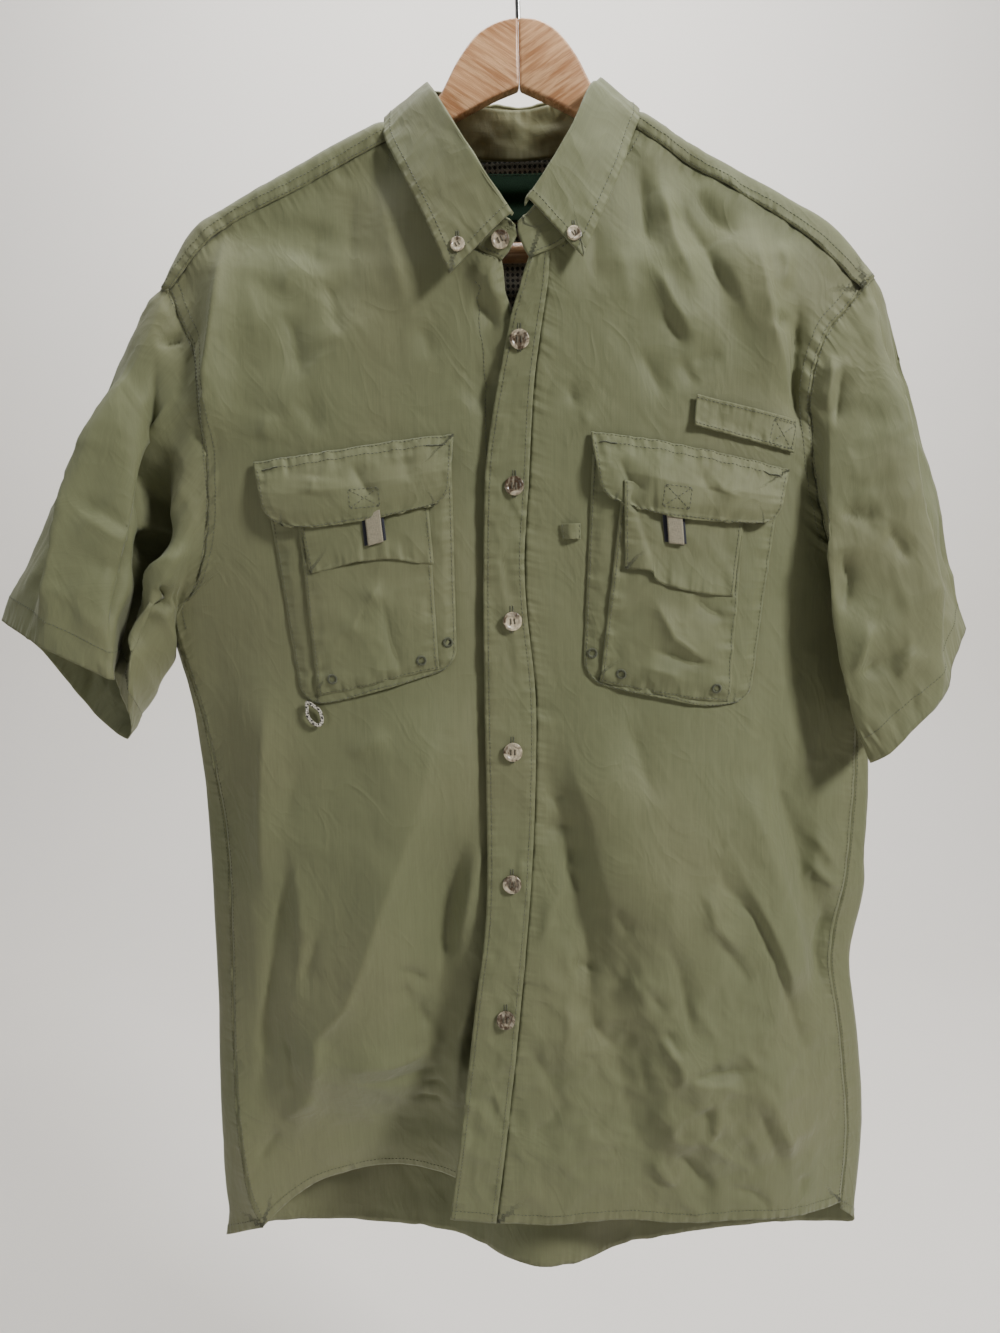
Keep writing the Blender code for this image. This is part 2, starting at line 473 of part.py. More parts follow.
def back_panel(yoke, right, left):
    stations = []
    for z_seam, z_mid, xr, yr, xro, yro, xlo, ylo, xl, yl, *depths in BACK:
        row = [(xr, yr, z_seam), (xro, yro, z_seam * 0.35 + z_mid * 0.65)]
        turn = (0.22 * yro + 0.78 * depths[0], 0.22 * ylo + 0.78 * depths[-1])
        for share, y in zip((-0.86, -0.6, -0.3, 0.0, 0.3, 0.6, 0.86), (turn[0], *depths, turn[1])):
            reach = abs(xro) if share < 0 else xlo
            low = z_mid + (z_seam - z_mid) * (0.35 * abs(share) ** 3)
            row.append((share * reach, y, low))
        row += [(xlo, ylo, z_seam * 0.35 + z_mid * 0.65), (xl, yl, z_seam)]
        stations.append(smooth_line(row, 23))
    grid = through_stations(stations, 30)
    for i in range(grid.shape[0]):
        for j in range(grid.shape[1]):
            x, y, z = grid[i, j]
            edge = min(1.0, min(j, grid.shape[1] - 1 - j) / 4.0)
            fall = min(1.0, i / 5.0)
            grid[i, j, 1] = y + fold_lift(FOLDS_BACK, x, z) * edge * fall
    seam = yoke[-1]
    grid[0, :, 1] = np.interp(grid[0, :, 0], seam[:, 0], seam[:, 1])
    grid[0, :, 2] = np.interp(grid[0, :, 0], seam[:, 0], seam[:, 2]) - SEAM_GAP - 0.3
    for panel, column, side in ((right[:, 0], 0, -1.0), (left[:, -1], -1, 1.0)):
        order = np.argsort(panel[:, 2])
        for i in range(grid.shape[0]):
            z = grid[i, column, 2]
            if z < -484:
                grid[i, column, 0] = np.interp(z, panel[order, 2], panel[order, 0]) + side * 2.2
                grid[i, column, 1] = np.interp(z, panel[order, 2], panel[order, 1]) + 0.2
    wall("back", grid, CLOTH, GREEN_CLOTH, outward=1.0)
    return grid


def yoke_panel(right, left):
    stations = []
    for front, crest, upper, seam in YOKE:
        front, crest, upper, seam = (np.array(p, float) for p in (front, crest, upper, seam))
        middle = 0.5 * (upper + seam) + (0, 1.5, 0)
        if front[1] < 0:
            near = np.array((crest[0] * 0.6 + front[0] * 0.4, -8.8, crest[2] - 3.0))
            far = np.array((crest[0] * 0.7 + upper[0] * 0.3, 9.2, crest[2] - 3.5))
            row = [front, near, crest, far]
        else:
            row = [front, front * 0.67 + crest * 0.33, front * 0.33 + crest * 0.67, crest]
        row += list(smooth_line((row[-1], upper, middle, seam), 7))[1:]
        stations.append(row)
    grid = through_stations(stations, 36).transpose(1, 0, 2)
    for j in range(grid.shape[1]):
        x = grid[0, j, 0]
        for panel in (right, left):
            edge = panel[0][np.argsort(panel[0][:, 0])]
            if grid[0, j, 1] < 0 and edge[0, 0] - 2 < x < edge[-1, 0] + 2:
                grid[0, j, 1] = np.interp(x, edge[:, 0], edge[:, 1])
                grid[0, j, 2] = np.interp(x, edge[:, 0], edge[:, 2]) + SEAM_GAP + 0.3
    wall("yoke", grid, CLOTH, GREEN_CLOTH, outward=1.0)
    return grid


def lining_and_label(yoke):
    flat = patch(((-56, -152), (0, -152), (52, -151)), ((-112, -292), (0, -294), (108, -292)), ((-56, -152), (-112, -292)), ((52, -151), (108, -292)), 9, 11)

    behind = yoke.reshape(-1, 3)
    behind = behind[behind[:, 1] > 12]

    def depth(x, z):
        away = np.hypot(behind[:, 0] - x, behind[:, 2] - z) + 1.0
        weight = 1.0 / away ** 3
        return float((weight * behind[:, 1]).sum() / weight.sum()) - CLOTH - 2.9

    grid = raised(flat, depth, lambda u, v, x, z: 0.0)
    wall("mesh_lining", grid, 1.0, MESH_CLOTH)
    flat = patch(LABEL[:2], LABEL[2:], (LABEL[0], LABEL[2]), (LABEL[1], LABEL[3]), 4, 6)
    wall("label", raised(flat, depth, lambda u, v, x, z: 3.4), 1.0, LABEL_CLOTH)


def collar():
    stand = []
    leaf = []
    for foot, top, fold, edge in COLLAR:
        foot, top, fold, edge = (np.array(p, float) for p in (foot, top, fold, edge))
        stand.append([foot, foot * 0.66 + top * 0.34, foot * 0.33 + top * 0.67, top])
        out = edge - fold
        out[2] = 0
        out /= np.linalg.norm(out)
        start = top * 0.35 + fold * 0.65 + out * 0.2
        rise = np.array((0, 0, 1.0))
        leaf.append([start, fold + rise * 0.4, fold + (edge - fold) * 0.12 + out * 1.2 + rise * 0.6, fold + (edge - fold) * 0.4 + out * 1.5, fold + (edge - fold) * 0.7 + out * 1.0, edge])
    grid = through_stations(stand, 43)
    wall("collar_stand", grid, COLLAR_THICK, GREEN_CLOTH, outward=1.0)
    grid = through_stations(leaf, 43)
    wall("collar_leaf", grid, COLLAR_THICK, GREEN_CLOTH, outward=1.0)


def outside(place, side):
    """How far a sleeve starts outside the armhole, more at the shoulder's tip and under the arm."""
    tip = 1.8 if place[2] > -262 else 0.0
    under = 5.0 * min(1.0, max(0.0, (-435 - place[2]) / 40))
    return (side * (SEAM_GAP + 0.9 + tip + under), 0, -0.8 * tip)


def armhole_ring(yoke_end, front_edge, back_edge, corners, side):
    """The first ring of a sleeve: round the armhole's real edges, a seam's gap outside them."""
    front = [p for p in front_edge if p[2] > -484]
    back = [p for p in back_edge[::-1] if p[2] > -488]
    loop = smooth_line(list(yoke_end[2::-1]) + front + back + list(yoke_end[:2:-1]), 240, closed=True)
    at = [int(np.argmin(np.linalg.norm(loop - np.array(c, float), axis=1))) for c in corners]
    out = []
    for k, start in enumerate(at):
        run = (at[(k + 1) % len(at)] - start) % len(loop)
        if run > len(loop) * 0.6:
            run -= len(loop)
        for step in range(3):
            out.append(loop[(start + int(round(run * step / 3))) % len(loop)] + outside(loop[(start + int(round(run * step / 3))) % len(loop)], side))
    return np.array(out)


def sleeve(name, rings, flip, yoke_end, front_edge, back_edge):
    stations = [corner_line(ring, 3) for ring in rings]
    stations[0] = armhole_ring(yoke_end, front_edge, back_edge, rings[0], flip)
    grid = through_stations(stations, 15)
    wall(name, grid, CLOTH, GREEN_CLOTH, closed=True, outward=flip)


def pocket(side, depth, bag_top, bag_low, mid_top, mid_low, flap_top, flap_low, tab):
    base = 1.1 + CLOTH
    bag = patch(bag_top, bag_low, (bag_top[0], bag_low[0]), (bag_top[-1], bag_low[-1]), 9, 8)
    grid = raised(bag, depth, lambda u, v, x, z: base + pocket_lift(u, v))
    wall("pocket_" + side, grid, CLOTH, GREEN_CLOTH)
    low_left = np.array(bag_low[0], float)
    low_right = np.array(bag_low[-1], float)
    top_left = np.array(bag_top[0], float)
    top_right = np.array(bag_top[-1], float)

    def place(x, z):
        v = 0.5
        u = 0.5
        for _ in range(6):
            left = top_left * (1 - v) + low_left * v
            right = top_right * (1 - v) + low_right * v
            u = (x - left[0]) / (right[0] - left[0])
            top_z = top_left[1] * (1 - u) + top_right[1] * u
            low_z = low_left[1] * (1 - u) + low_right[1] * u
            v = (z - top_z) / (low_z - top_z)
        return min(max(u, 0.0), 1.0), min(max(v, 0.0), 1.0)

    layer = base + LAYER_GAP + CLOTH

    def over_bag(x, z):
        u, v = place(x, z)
        return layer + pocket_lift(u, v) + 0.15

    flat = patch(mid_top, mid_low, (mid_top[0], mid_low[0]), (mid_top[-1], mid_low[-1]), 8, 6)
    grid = raised(flat, depth, lambda u, v, x, z: over_bag(x, z))
    wall("pocket_centre_" + side, grid, CLOTH, GREEN_CLOTH)
    flat = patch(tab[:2], tab[2:], (tab[0], tab[2]), (tab[1], tab[3]), 3, 2)
    grid = raised(flat, depth, lambda u, v, x, z: over_bag(x, z) + LAYER_GAP + CLOTH)
    wall("tab_" + side, grid, CLOTH, TAB_TAPE)
    flat = patch(flap_top, flap_low, (flap_top[0], flap_low[0]), (flap_top[-1], flap_low[-1]), 6, 9)
    full = layer + POCKET_PUFF + 2 * (LAYER_GAP + CLOTH) + 1.2

    def flap_lift(u, v, x, z):
        edge = 1.0 - 0.25 * abs(2 * u - 1) ** 3
        return 1.1 + CLOTH + (full - 1.1 - CLOTH) * min(1.0, v * 1.9) ** 0.8 * edge

    wall("flap_" + side, raised(flat, depth, flap_lift), 1.6, GREEN_CLOTH)
    return {"bag": lambda x, z: base + pocket_lift(*place(x, z)), "centre": over_bag}


def trim():
    flat = patch(STRAP[:2], STRAP[2:], (STRAP[0], STRAP[2]), (STRAP[1], STRAP[3]), 3, 7)
    wall("strap", raised(flat, left_depth, lambda u, v, x, z: 2.1), 1.4, GREEN_CLOTH)
    flat = patch(UTILITY_LOOP[:2], UTILITY_LOOP[2:], (UTILITY_LOOP[0], UTILITY_LOOP[2]), (UTILITY_LOOP[1], UTILITY_LOOP[3]), 3, 4)
    wall("utility_loop", raised(flat, left_depth, lambda u, v, x, z: 1.7 + 3.0 * math.sin(math.pi * u)), 1.2, GREEN_CLOTH)


def facing(x, z, depth):
    """The way a panel faces at a place."""
    step = 3.0
    dx = (depth(x + step, z) - depth(x - step, z)) / (2 * step)
    dz = (depth(x, z + step) - depth(x, z - step)) / (2 * step)
    n = np.array((dx, -1.0, dz))
    return n / np.linalg.norm(n)


def lathe(name, centre, axis, profile, finish, sides=14, ring=False):
    """A round solid on an axis: profile rows are radius, height along the axis."""
    axis = np.array(axis, float)
    axis /= np.linalg.norm(axis)
    side = np.cross(axis, (0, 0, 1.0))
    side /= np.linalg.norm(side)
    other = np.cross(side, axis)
    points = []
    for radius, height in profile:
        for k in range(sides):
            a = 2 * math.pi * k / sides
            points.append(np.array(centre) + axis * height + (side * math.cos(a) + other * math.sin(a)) * radius)
    faces = []
    rows = len(profile)
    last = rows if ring else rows - 1
    for i in range(last):
        i2 = (i + 1) % rows
        for k in range(sides):
            k2 = (k + 1) % sides
            faces.append((i * sides + k, i2 * sides + k, i2 * sides + k2, i * sides + k2))
    if not ring:
        faces.append(tuple(range(sides)))
        faces.append(tuple(reversed(range((rows - 1) * sides, rows * sides))))
    return solid(name, points, faces, finish)


def button(name, x, z, depth, lift, across):
    axis = facing(x, z, depth)
    centre = np.array((x, depth(x, z), z)) + axis * lift
    r = across / 2
    t = BUTTON_THICK * across / BUTTON_ACROSS
    profile = ((r * 0.82, 0.0), (r, t * 0.35), (r, t * 0.7), (r * 0.86, t), (r * 0.6, t * 0.78))
    lathe(name, centre, axis, profile, HORN)


def fastenings(layers):
    for n, (x, z) in enumerate(BUTTONS):
        button("button_%d" % (n + 1), x, z, left_depth, 1.35, BUTTON_ACROSS)
    for side, x, z in COLLAR_BUTTONS:
        button("collar_button_" + side, x, z, lambda a, b: -49.4 if side == "right" else -50.2, 0.3, COLLAR_BUTTON_ACROSS)
    button("stand_button", STAND_BUTTON[0], STAND_BUTTON[1], lambda a, b: -41.4, 0.5, 12.5)
    for n, (side, x, z, on) in enumerate(EYELETS):
        depth = right_depth if side == "right" else left_depth
        axis = facing(x, z, depth)
        centre = np.array((x, depth(x, z), z)) + axis * (layers[side][on](x, z) + 0.45)
        r = EYELET_ACROSS / 2
        profile = ((r * 0.5, 0.0), (r, 0.0), (r * 0.9, 0.8), (r * 0.6, 0.8))
        lathe("eyelet_%d" % (n + 1), centre, axis, profile, EYELET, 14, ring=True)


def cord_loop():
    x, z, long, wide, turn = CORD_LOOP
    a = math.radians(turn)
    points = []
    faces = []
    count, sides = 14, 6
    y = right_depth(x, z) - 4.2
    for i in range(count):
        s = 2 * math.pi * i / count
        u = math.cos(s) * (long - CORD_ACROSS) / 2
        w = math.sin(s) * (wide - CORD_ACROSS) / 2
        du, dw = -math.sin(s) * long, math.cos(s) * wide
        size = math.hypot(du, dw)
        for k in range(sides):
            b = 2 * math.pi * k / sides
            r = CORD_ACROSS / 2
            pu = u + dw / size * math.cos(b) * r
            pw = w - du / size * math.cos(b) * r
            points.append((x + pu * math.cos(a) + pw * math.sin(a), y + math.sin(b) * r, z - pu * math.sin(a) + pw * math.cos(a)))
    for i in range(count):
        for k in range(sides):
            i2, k2 = (i + 1) % count, (k + 1) % sides
            faces.append((i * sides + k, i2 * sides + k, i2 * sides + k2, i * sides + k2))
    solid("cord_loop", points, faces, CORD)


def hanger():
    for name, top, low, way in (("hanger_arm_left", HANGER_TOP, HANGER_LOW, 1.0), ("hanger_arm_right", HANGER_TOP_RIGHT, HANGER_LOW_RIGHT, -1.0)):
        upper = smooth_line(top, 18)
        lower = smooth_line(tuple(reversed(low)), 18)
        h = HANGER_THICK / 2
        bevel = 2.0
        points = []
        for (ux, uz), (lx, lz) in zip(upper, lower):
            cut = min(bevel, (uz - lz) * 0.3)
            section = ((ux, -h + bevel, uz), (ux, -h, uz - cut), (lx, -h, lz + cut), (lx, -h + bevel, lz))
            section += ((lx, h - bevel, lz), (lx, h, lz + cut), (ux, h, uz - cut), (ux, h - bevel, uz))
            points += [(x * way, y, z) for x, y, z in section]
        faces = []
        n = 8
        for i in range(len(upper) - 1):
            for k in range(n):
                k2 = (k + 1) % n
                faces.append((i * n + k, (i + 1) * n + k, (i + 1) * n + k2, i * n + k2))
        faces.append(tuple(range(n)))
        faces.append(tuple(reversed(range((len(upper) - 1) * n, len(upper) * n))))
        if way > 0:
            faces = [tuple(reversed(f)) for f in faces]
        solid(name, points, faces, WOOD)
    r = HANGER_BAR_ACROSS / 2
    profile = ((r - 0.5, 0), (r, 0.5), (r, HANGER_BAR_LONG - 0.5), (r - 0.5, HANGER_BAR_LONG))
    lathe("hanger_bar", (-183.4, 0, -225), (1, 0, 0), profile, WOOD, 16)


def hook():
    r = HOOK_WIRE / 2
    centre = -HOOK_RADIUS + r
    path = [(0, -69.9), (0, -62), (0, -54), (1.5, -49)]
    for deg in range(-52, 226, 16):
        a = math.radians(deg)
        path.append((HOOK_RADIUS * math.cos(a), centre + HOOK_RADIUS * math.sin(a)))
    path = smooth_line(path, 26)
    points = []
    faces = []
    n = 8
    for i, (x, z) in enumerate(path):
        a = path[max(i - 1, 0)]
        b = path[min(i + 1, len(path) - 1)]
        d = (b - a) / np.linalg.norm(b - a)
        for k in range(n):
            s = 2 * math.pi * k / n
            points.append((x - d[1] * math.cos(s) * r, math.sin(s) * r, z + d[0] * math.cos(s) * r))
    for i in range(len(path) - 1):
        for k in range(n):
            k2 = (k + 1) % n
            faces.append((i * n + k, i * n + k2, (i + 1) * n + k2, (i + 1) * n + k))
    faces.append(tuple(reversed(range(n))))
    faces.append(tuple(range((len(path) - 1) * n, len(path) * n)))
    solid("hook", points, faces, STEEL)


def face_outward():
    """Turns every solid's faces out."""
    for made in bpy.context.scene.collection.objects:
        mesh = made.data
        mesh.calc_loop_triangles()
        co = np.array([v.co for v in mesh.vertices])
        tri = np.array([t.vertices for t in mesh.loop_triangles])
        a, b, c = co[tri[:, 0]], co[tri[:, 1]], co[tri[:, 2]]
        if np.einsum("ij,ij->i", a, np.cross(b, c)).sum() < 0:
            mesh.flip_normals()


right_grid, left_grid = front_panels()
yoke_grid = yoke_panel(right_grid, left_grid)
back_grid = back_panel(yoke_grid, right_grid, left_grid)
lining_and_label(yoke_grid)
collar()
sleeve("sleeve_right", SLEEVE_RIGHT, -1.0, yoke_grid[:, 0], right_grid[:, 0], back_grid[:, 0])
sleeve("sleeve_left", SLEEVE_LEFT, 1.0, yoke_grid[:, -1], left_grid[:, -1], back_grid[:, -1])
layers = {}
layers["right"] = pocket("right", right_depth, POCKET_RIGHT_TOP, POCKET_RIGHT_LOW, CENTRE_RIGHT_TOP, CENTRE_RIGHT_LOW, FLAP_RIGHT_TOP, FLAP_RIGHT_LOW, TAB_RIGHT)
layers["left"] = pocket("left", left_depth, POCKET_LEFT_TOP, POCKET_LEFT_LOW, CENTRE_LEFT_TOP, CENTRE_LEFT_LOW, FLAP_LEFT_TOP, FLAP_LEFT_LOW, TAB_LEFT)
trim()
fastenings(layers)
cord_loop()
hanger()
hook()
face_outward()
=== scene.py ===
import math

import bpy
import numpy as np
from bpy.props import FloatProperty, FloatVectorProperty, PointerProperty
from mathutils import Matrix, Vector


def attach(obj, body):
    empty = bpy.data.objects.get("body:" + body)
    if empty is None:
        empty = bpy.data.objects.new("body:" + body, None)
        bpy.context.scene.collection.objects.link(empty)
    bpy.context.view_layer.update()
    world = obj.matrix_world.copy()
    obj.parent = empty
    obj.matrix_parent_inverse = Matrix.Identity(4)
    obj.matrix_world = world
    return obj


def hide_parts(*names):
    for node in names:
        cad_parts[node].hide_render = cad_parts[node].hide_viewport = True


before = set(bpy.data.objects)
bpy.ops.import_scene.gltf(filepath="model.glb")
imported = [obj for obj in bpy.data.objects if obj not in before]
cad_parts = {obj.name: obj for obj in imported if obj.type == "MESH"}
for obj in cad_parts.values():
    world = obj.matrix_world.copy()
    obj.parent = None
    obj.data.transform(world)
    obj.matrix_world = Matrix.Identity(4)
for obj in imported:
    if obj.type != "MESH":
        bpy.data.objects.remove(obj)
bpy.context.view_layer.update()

bl_info = {
    "name": "Utility shirt on a hanger",
    "version": (1, 0, 0),
    "blender": (4, 5, 0),
    "location": "3D View > Sidebar > Shirt",
    "description": "Short-sleeved utility shirt of thin green cloth, hung on a wooden hanger",
    "category": "Add Mesh",
}

# The tables are in millimetres. The origin is the inner top of the hanger's hook.
# X runs to the viewer's right, Y away from the viewer, Z up.
MM = 0.001
BUTTON_ACROSS = 13.6
COLLAR_BUTTON_ACROSS = 10.0
STAND_BUTTON_ACROSS = 12.5
BUTTON_THICK = 2.6
EYELET_ACROSS = 7.5
CORD_ACROSS = 2.6
HANGER_THICK = 13.0
HANGER_BAR_ACROSS = 14.0
HANGER_BAR_LONG = 361.0
HANGER_BAR_START = -183.4
HANGER_BAR_Z = -225.0
HOOK_WIRE = 3.6
HOOK_RADIUS = 21.0
POCKET_PUFF = 3.0
CRUMPLE_BASE = 0.16
SLEEVE_WAYS = (("right", -1.0), ("left", 1.0))

# Depth of the shirt front behind the viewer's side of the hanger plane.
# One row per height; columns: z, then y at 0, 60, 120, 180 and 240 from the centre.
DEPTH_RIGHT = (
    (-130, -8, -9, -9.5, -9.5, -9.5),
    (-170, -22, -15, -10, -9.5, -9.5),
    (-205, -30, -25, -16, -10.5, -9.5),
    (-240, -33, -31, -24, -16, -9.5),
    (-290, -32, -32, -29, -23, -15),
    (-350, -29, -32, -31, -28, -20),
    (-420, -29, -33, -33, -29, -20),
    (-500, -33, -36, -36, -30, -12),
    (-580, -36, -39, -40, -33, -9),
    (-660, -37, -37, -42, -34, -8),
    (-740, -38, -32, -40, -35, -9),
    (-820, -40, -24, -34, -32, -12),
    (-900, -42, -12, 0, -9, -16),
    (-980, -42, 12, 28, 8, -20),
)
DEPTH_LEFT = (
    (-130, -9, -9.5, -9.5, -9.5, -9.5),
    (-170, -26, -17, -10, -9.5, -9.5),
    (-205, -36, -27, -17, -11, -9.5),
    (-240, -38, -34, -26, -17, -9.5),
    (-290, -37, -35, -31, -24, -13),
    (-350, -35, -35, -33, -28, -16),
    (-420, -35, -36, -34, -28, -10),
    (-500, -38, -38, -37, -24, 0),
    (-580, -41, -41, -41, -26, -2),
    (-660, -43, -44, -45, -31, -6),
    (-740, -45, -45, -48, -35, -8),
    (-820, -48, -46, -48, -38, -9),
    (-900, -50, -47, -46, -40, -9),
    (-980, -52, -49, -44, -40, -6),
)

# Folds: columns are x and z at the top, x and z at the low end, half width, lift
# (a lift above nought stands towards the viewer).
FOLDS_RIGHT = (
    (-222, -215, -221, -350, 10, 4),
    (-70, -540, -140, -860, 26, 8),
    (-66, -640, -96, -930, 22, -8),
    (-45, -650, -62, -840, 9, 4),
    (-205, -520, -207, -790, 14, 5),
    (-186, -630, -216, -880, 11, -3.5),
    (-120, -260, -175, -340, 20, 3),
)
FOLDS_LEFT = (
    (10, -530, 84, -930, 16, -5.5),
    (52, -560, 114, -900, 28, 7),
    (190, -600, 222, -790, 14, -7),
    (160, -610, 203, -780, 12, 5),
    (88, -155, 128, -300, 13, 3.5),
    (122, -180, 192, -325, 15, 4),
    (104, -160, 160, -310, 12, -3),
    (170, -820, 190, -900, 16, 4),
)
FOLDS_BACK = (
    (-120, -330, -150, -940, 22, -7),
    (-40, -420, -70, -980, 24, 8),
    (45, -360, 40, -960, 20, -7),
    (120, -330, 165, -960, 26, 8),
    (185, -520, 200, -900, 16, -6),
    (-195, -500, -205, -900, 16, 6),
)

# Cut of the wearer's right front, the viewer's left: columns x, z.
RIGHT_YOKE_SEAM = ((-252, -247), (-224, -217), (-201, -201), (-161, -183), (-122, -164), (-86, -147))
RIGHT_ARMHOLE = (
    (-252, -247), (-243, -270), (-233, -295), (-230, -345), (-230, -391), (-235, -431), (-248, -463),
    (-264, -483),
)
RIGHT_SIDE = (
    (-264, -483), (-246, -560), (-234, -640), (-233, -698), (-236, -780), (-238, -863), (-233, -932),
    (-224, -971),
)
RIGHT_HEM = (
    (-224, -971), (-205, -955), (-179, -940), (-148, -935), (-115, -936), (-85, -941), (-60, -946),
    (-30, -948), (-5, -948),
)
RIGHT_NECK = ((-86, -147), (-78, -160), (-64, -190), (-50, -215), (-35, -236), (-14, -244))
RIGHT_CENTRE = (
    (-14, -244), (-14, -258), (-9, -274), (-5, -310), (-5, -500), (-5, -700), (-5, -850), (-5, -948),
)

# Cut of the wearer's left front, the viewer's right, with the placket's two edges.
LEFT_YOKE_SEAM = ((80, -146), (118, -171), (163, -197), (188, -212), (213, -231), (225, -243), (240, -257))
LEFT_ARMHOLE = (
    (240, -257), (228, -272), (213, -289), (203, -320), (202, -355), (206, -390), (216, -430), (240, -480),
)
LEFT_SIDE = (
    (240, -480), (247, -560), (246, -620), (240, -686), (229, -754), (237, -824), (245, -901), (242, -966),
)
LEFT_HEM = (
    (-36, -943), (0, -946), (33, -945), (66, -946), (101, -951), (133, -951), (166, -952), (192, -956),
    (225, -964), (242, -966),
)
LEFT_NECK = ((19, -235), (36, -222), (52, -198), (66, -172), (80, -146))
PLACKET_OUTER = (
    (3, -238), (-1, -248), (-4, -258), (-10, -275), (-16, -302), (-25, -345), (-31, -390), (-34, -470),
    (-35, -542), (-37, -690), (-48, -775), (-60, -865), (-71, -939),
)
PLACKET_INNER = (
    (19, -235), (14, -265), (8, -300), (4, -332), (0, -390), (-4, -440), (-3, -480), (2, -543), (0, -617),
    (-5, -690), (-14, -775), (-25, -865), (-36, -943),
)

# Collar stations from the wearer's right end round the back of the neck to the left end.
# columns: stand foot x y z, stand top x y z, leaf fold x y z, leaf edge x y z
COLLAR = (
    ((-13, -41, -240), (-9, -42, -217), (-7, -47, -211), (-51, -49, -250)),
    ((-33, -37, -229), (-24, -40, -196), (-24, -45, -186), (-66, -42, -214)),
    ((-60, -28, -192), (-41, -33, -165), (-41, -38, -157), (-80, -31, -183)),
    ((-77, -16, -155), (-56, -20, -134), (-57, -24, -127), (-93, -17, -154)),
    ((-80, -10.5, -137), (-60, -11, -122), (-62, -13, -116), (-95, -14, -145)),
    ((-81, -1, -127), (-62, -1, -116), (-64, -2, -110), (-95, 2, -131)),
    ((-78, 17, -131), (-58, 19, -112), (-61, 21, -106), (-92, 27, -143)),
    ((-50, 41, -138), (-38, 39, -109), (-40, 43, -104), (-62, 53, -151)),
    ((0, 50, -141), (0, 47, -111), (0, 51, -106), (0, 62, -154)),
    ((46, 41, -137), (35, 39, -108), (37, 43, -103), (58, 53, -149)),
    ((68, 17, -129), (49, 19, -111), (51, 21, -106), (81, 26, -141)),
    ((71, -1, -125), (55, -1, -115), (56.5, -2, -109.5), (84, 2, -129.5)),
    ((70, -10.5, -135), (52, -11, -122), (53, -13, -116), (82, -14, -142)),
    ((67, -16, -153), (47, -20, -131), (47, -24, -124), (79, -17, -149)),
    ((54, -29, -190), (34, -34, -163), (33, -38, -154), (67, -32, -181)),
    ((30, -39, -226), (16, -41, -194), (16, -45, -182), (53, -42, -211)),
    ((2, -42, -239), (-3, -43, -215), (2, -48, -203), (39, -49, -241)),
)

# Yoke stations from the wearer's right armhole to the left one.
# columns: front or neck edge x y z, crest x y z, upper back x y z, back seam x y z
YOKE = (
    ((-250.5, -10, -246), (-260.5, 1, -242.5), (-254, 18, -266), (-240, 24, -302)),
    ((-224, -10, -216), (-236, 0, -205), (-232, 16, -235), (-222, 27, -301)),
    ((-201, -10, -200), (-206, 0, -187.5), (-205, 15, -215), (-200, 29, -300)),
    ((-161, -10, -182), (-163, 0, -166), (-163, 17, -196), (-160, 31, -300)),
    ((-122, -10.5, -163), (-120, 0, -145.5), (-122, 22, -180), (-121, 33, -300)),
    ((-87, -11, -146), (-95, 1, -135), (-92, 27, -166), (-92, 34, -300)),
    ((-80, 17, -134), (-84, 22, -140), (-80, 33, -168), (-78, 35, -300)),
    ((-51, 43, -140), (-52, 46, -150), (-52, 45, -185), (-50, 36, -300)),
    ((0, 52, -144), (0, 54, -154), (0, 50, -190), (0, 37, -300)),
    ((47, 43, -139), (48, 46, -149), (48, 45, -184), (48, 36, -300)),
    ((70, 17, -132), (74, 22, -138), (72, 33, -166), (72, 35, -300)),
    ((80.5, -11, -145), (86, 1, -133), (84, 27, -164), (86, 34, -300)),
    ((118, -10.5, -170), (117, 0, -154), (118, 20, -186), (118, 33, -300)),
    ((163, -10, -196), (160, 0, -178), (160, 17, -206), (158, 31, -300)),
    ((188, -10, -211), (193, 0, -195), (190, 15, -222), (188, 29, -300)),
    ((213, -10, -230), (224, 0, -214), (218, 15, -242), (214, 27, -301)),
    ((240, -10, -256.4), (253, 1, -247), (246, 17, -268), (238, 24, -302)),
)

# The back below its yoke: one row per height.
# columns: z at the seam, z at the middle, right edge x y, right silhouette x y,
# left silhouette x y, left edge x y, then y at five places from right to left
BACK = (
    (-302.6, -300.6, -240, 24, -236, 25, 234, 25, 238, 24, 33, 36, 37, 36, 33),
    (-350, -350, -237, 24, -234, 26, 228, 26, 232, 24, 33, 36, 36, 36, 33),
    (-400, -400, -238, 21, -236, 26, 226, 26, 229, 22, 33, 35, 35, 35, 33),
    (-450, -450, -250, 12, -248, 22, 232, 22, 234, 15, 32, 34, 34, 34, 32),
    (-484, -490, -264.5, 0, -266, 10, 246, 14, 242, 6, 31, 33, 33, 33, 31),
    (-560, -560, -247, -9, -256, 6, 259, 12, 248.5, 2, 32, 33, 32, 33, 32),
    (-640, -640, -235, -9, -251, 6, 261, 8, 247.5, -3, 34, 34, 31, 32, 33),
    (-710, -710, -234, -9, -251, 6, 259, 8, 238, -7, 35, 35, 29, 31, 33),
    (-780, -780, -237, -9, -252, 7, 250, 6, 233, -8, 36, 36, 25, 29, 32),
    (-860, -860, -239, -12, -256, 7, 260, 7, 243, -9, 38, 35, 14, 24, 28),
    (-930, -935, -234, -16, -258, 8, 262, 8, 246.5, -8, 39, 32, -3, 14, 22),
    (-972, -1006, -225.5, -19, -261, 10, 259, 9, 243.5, -6, 38, 26, -20, 8, 18),
)

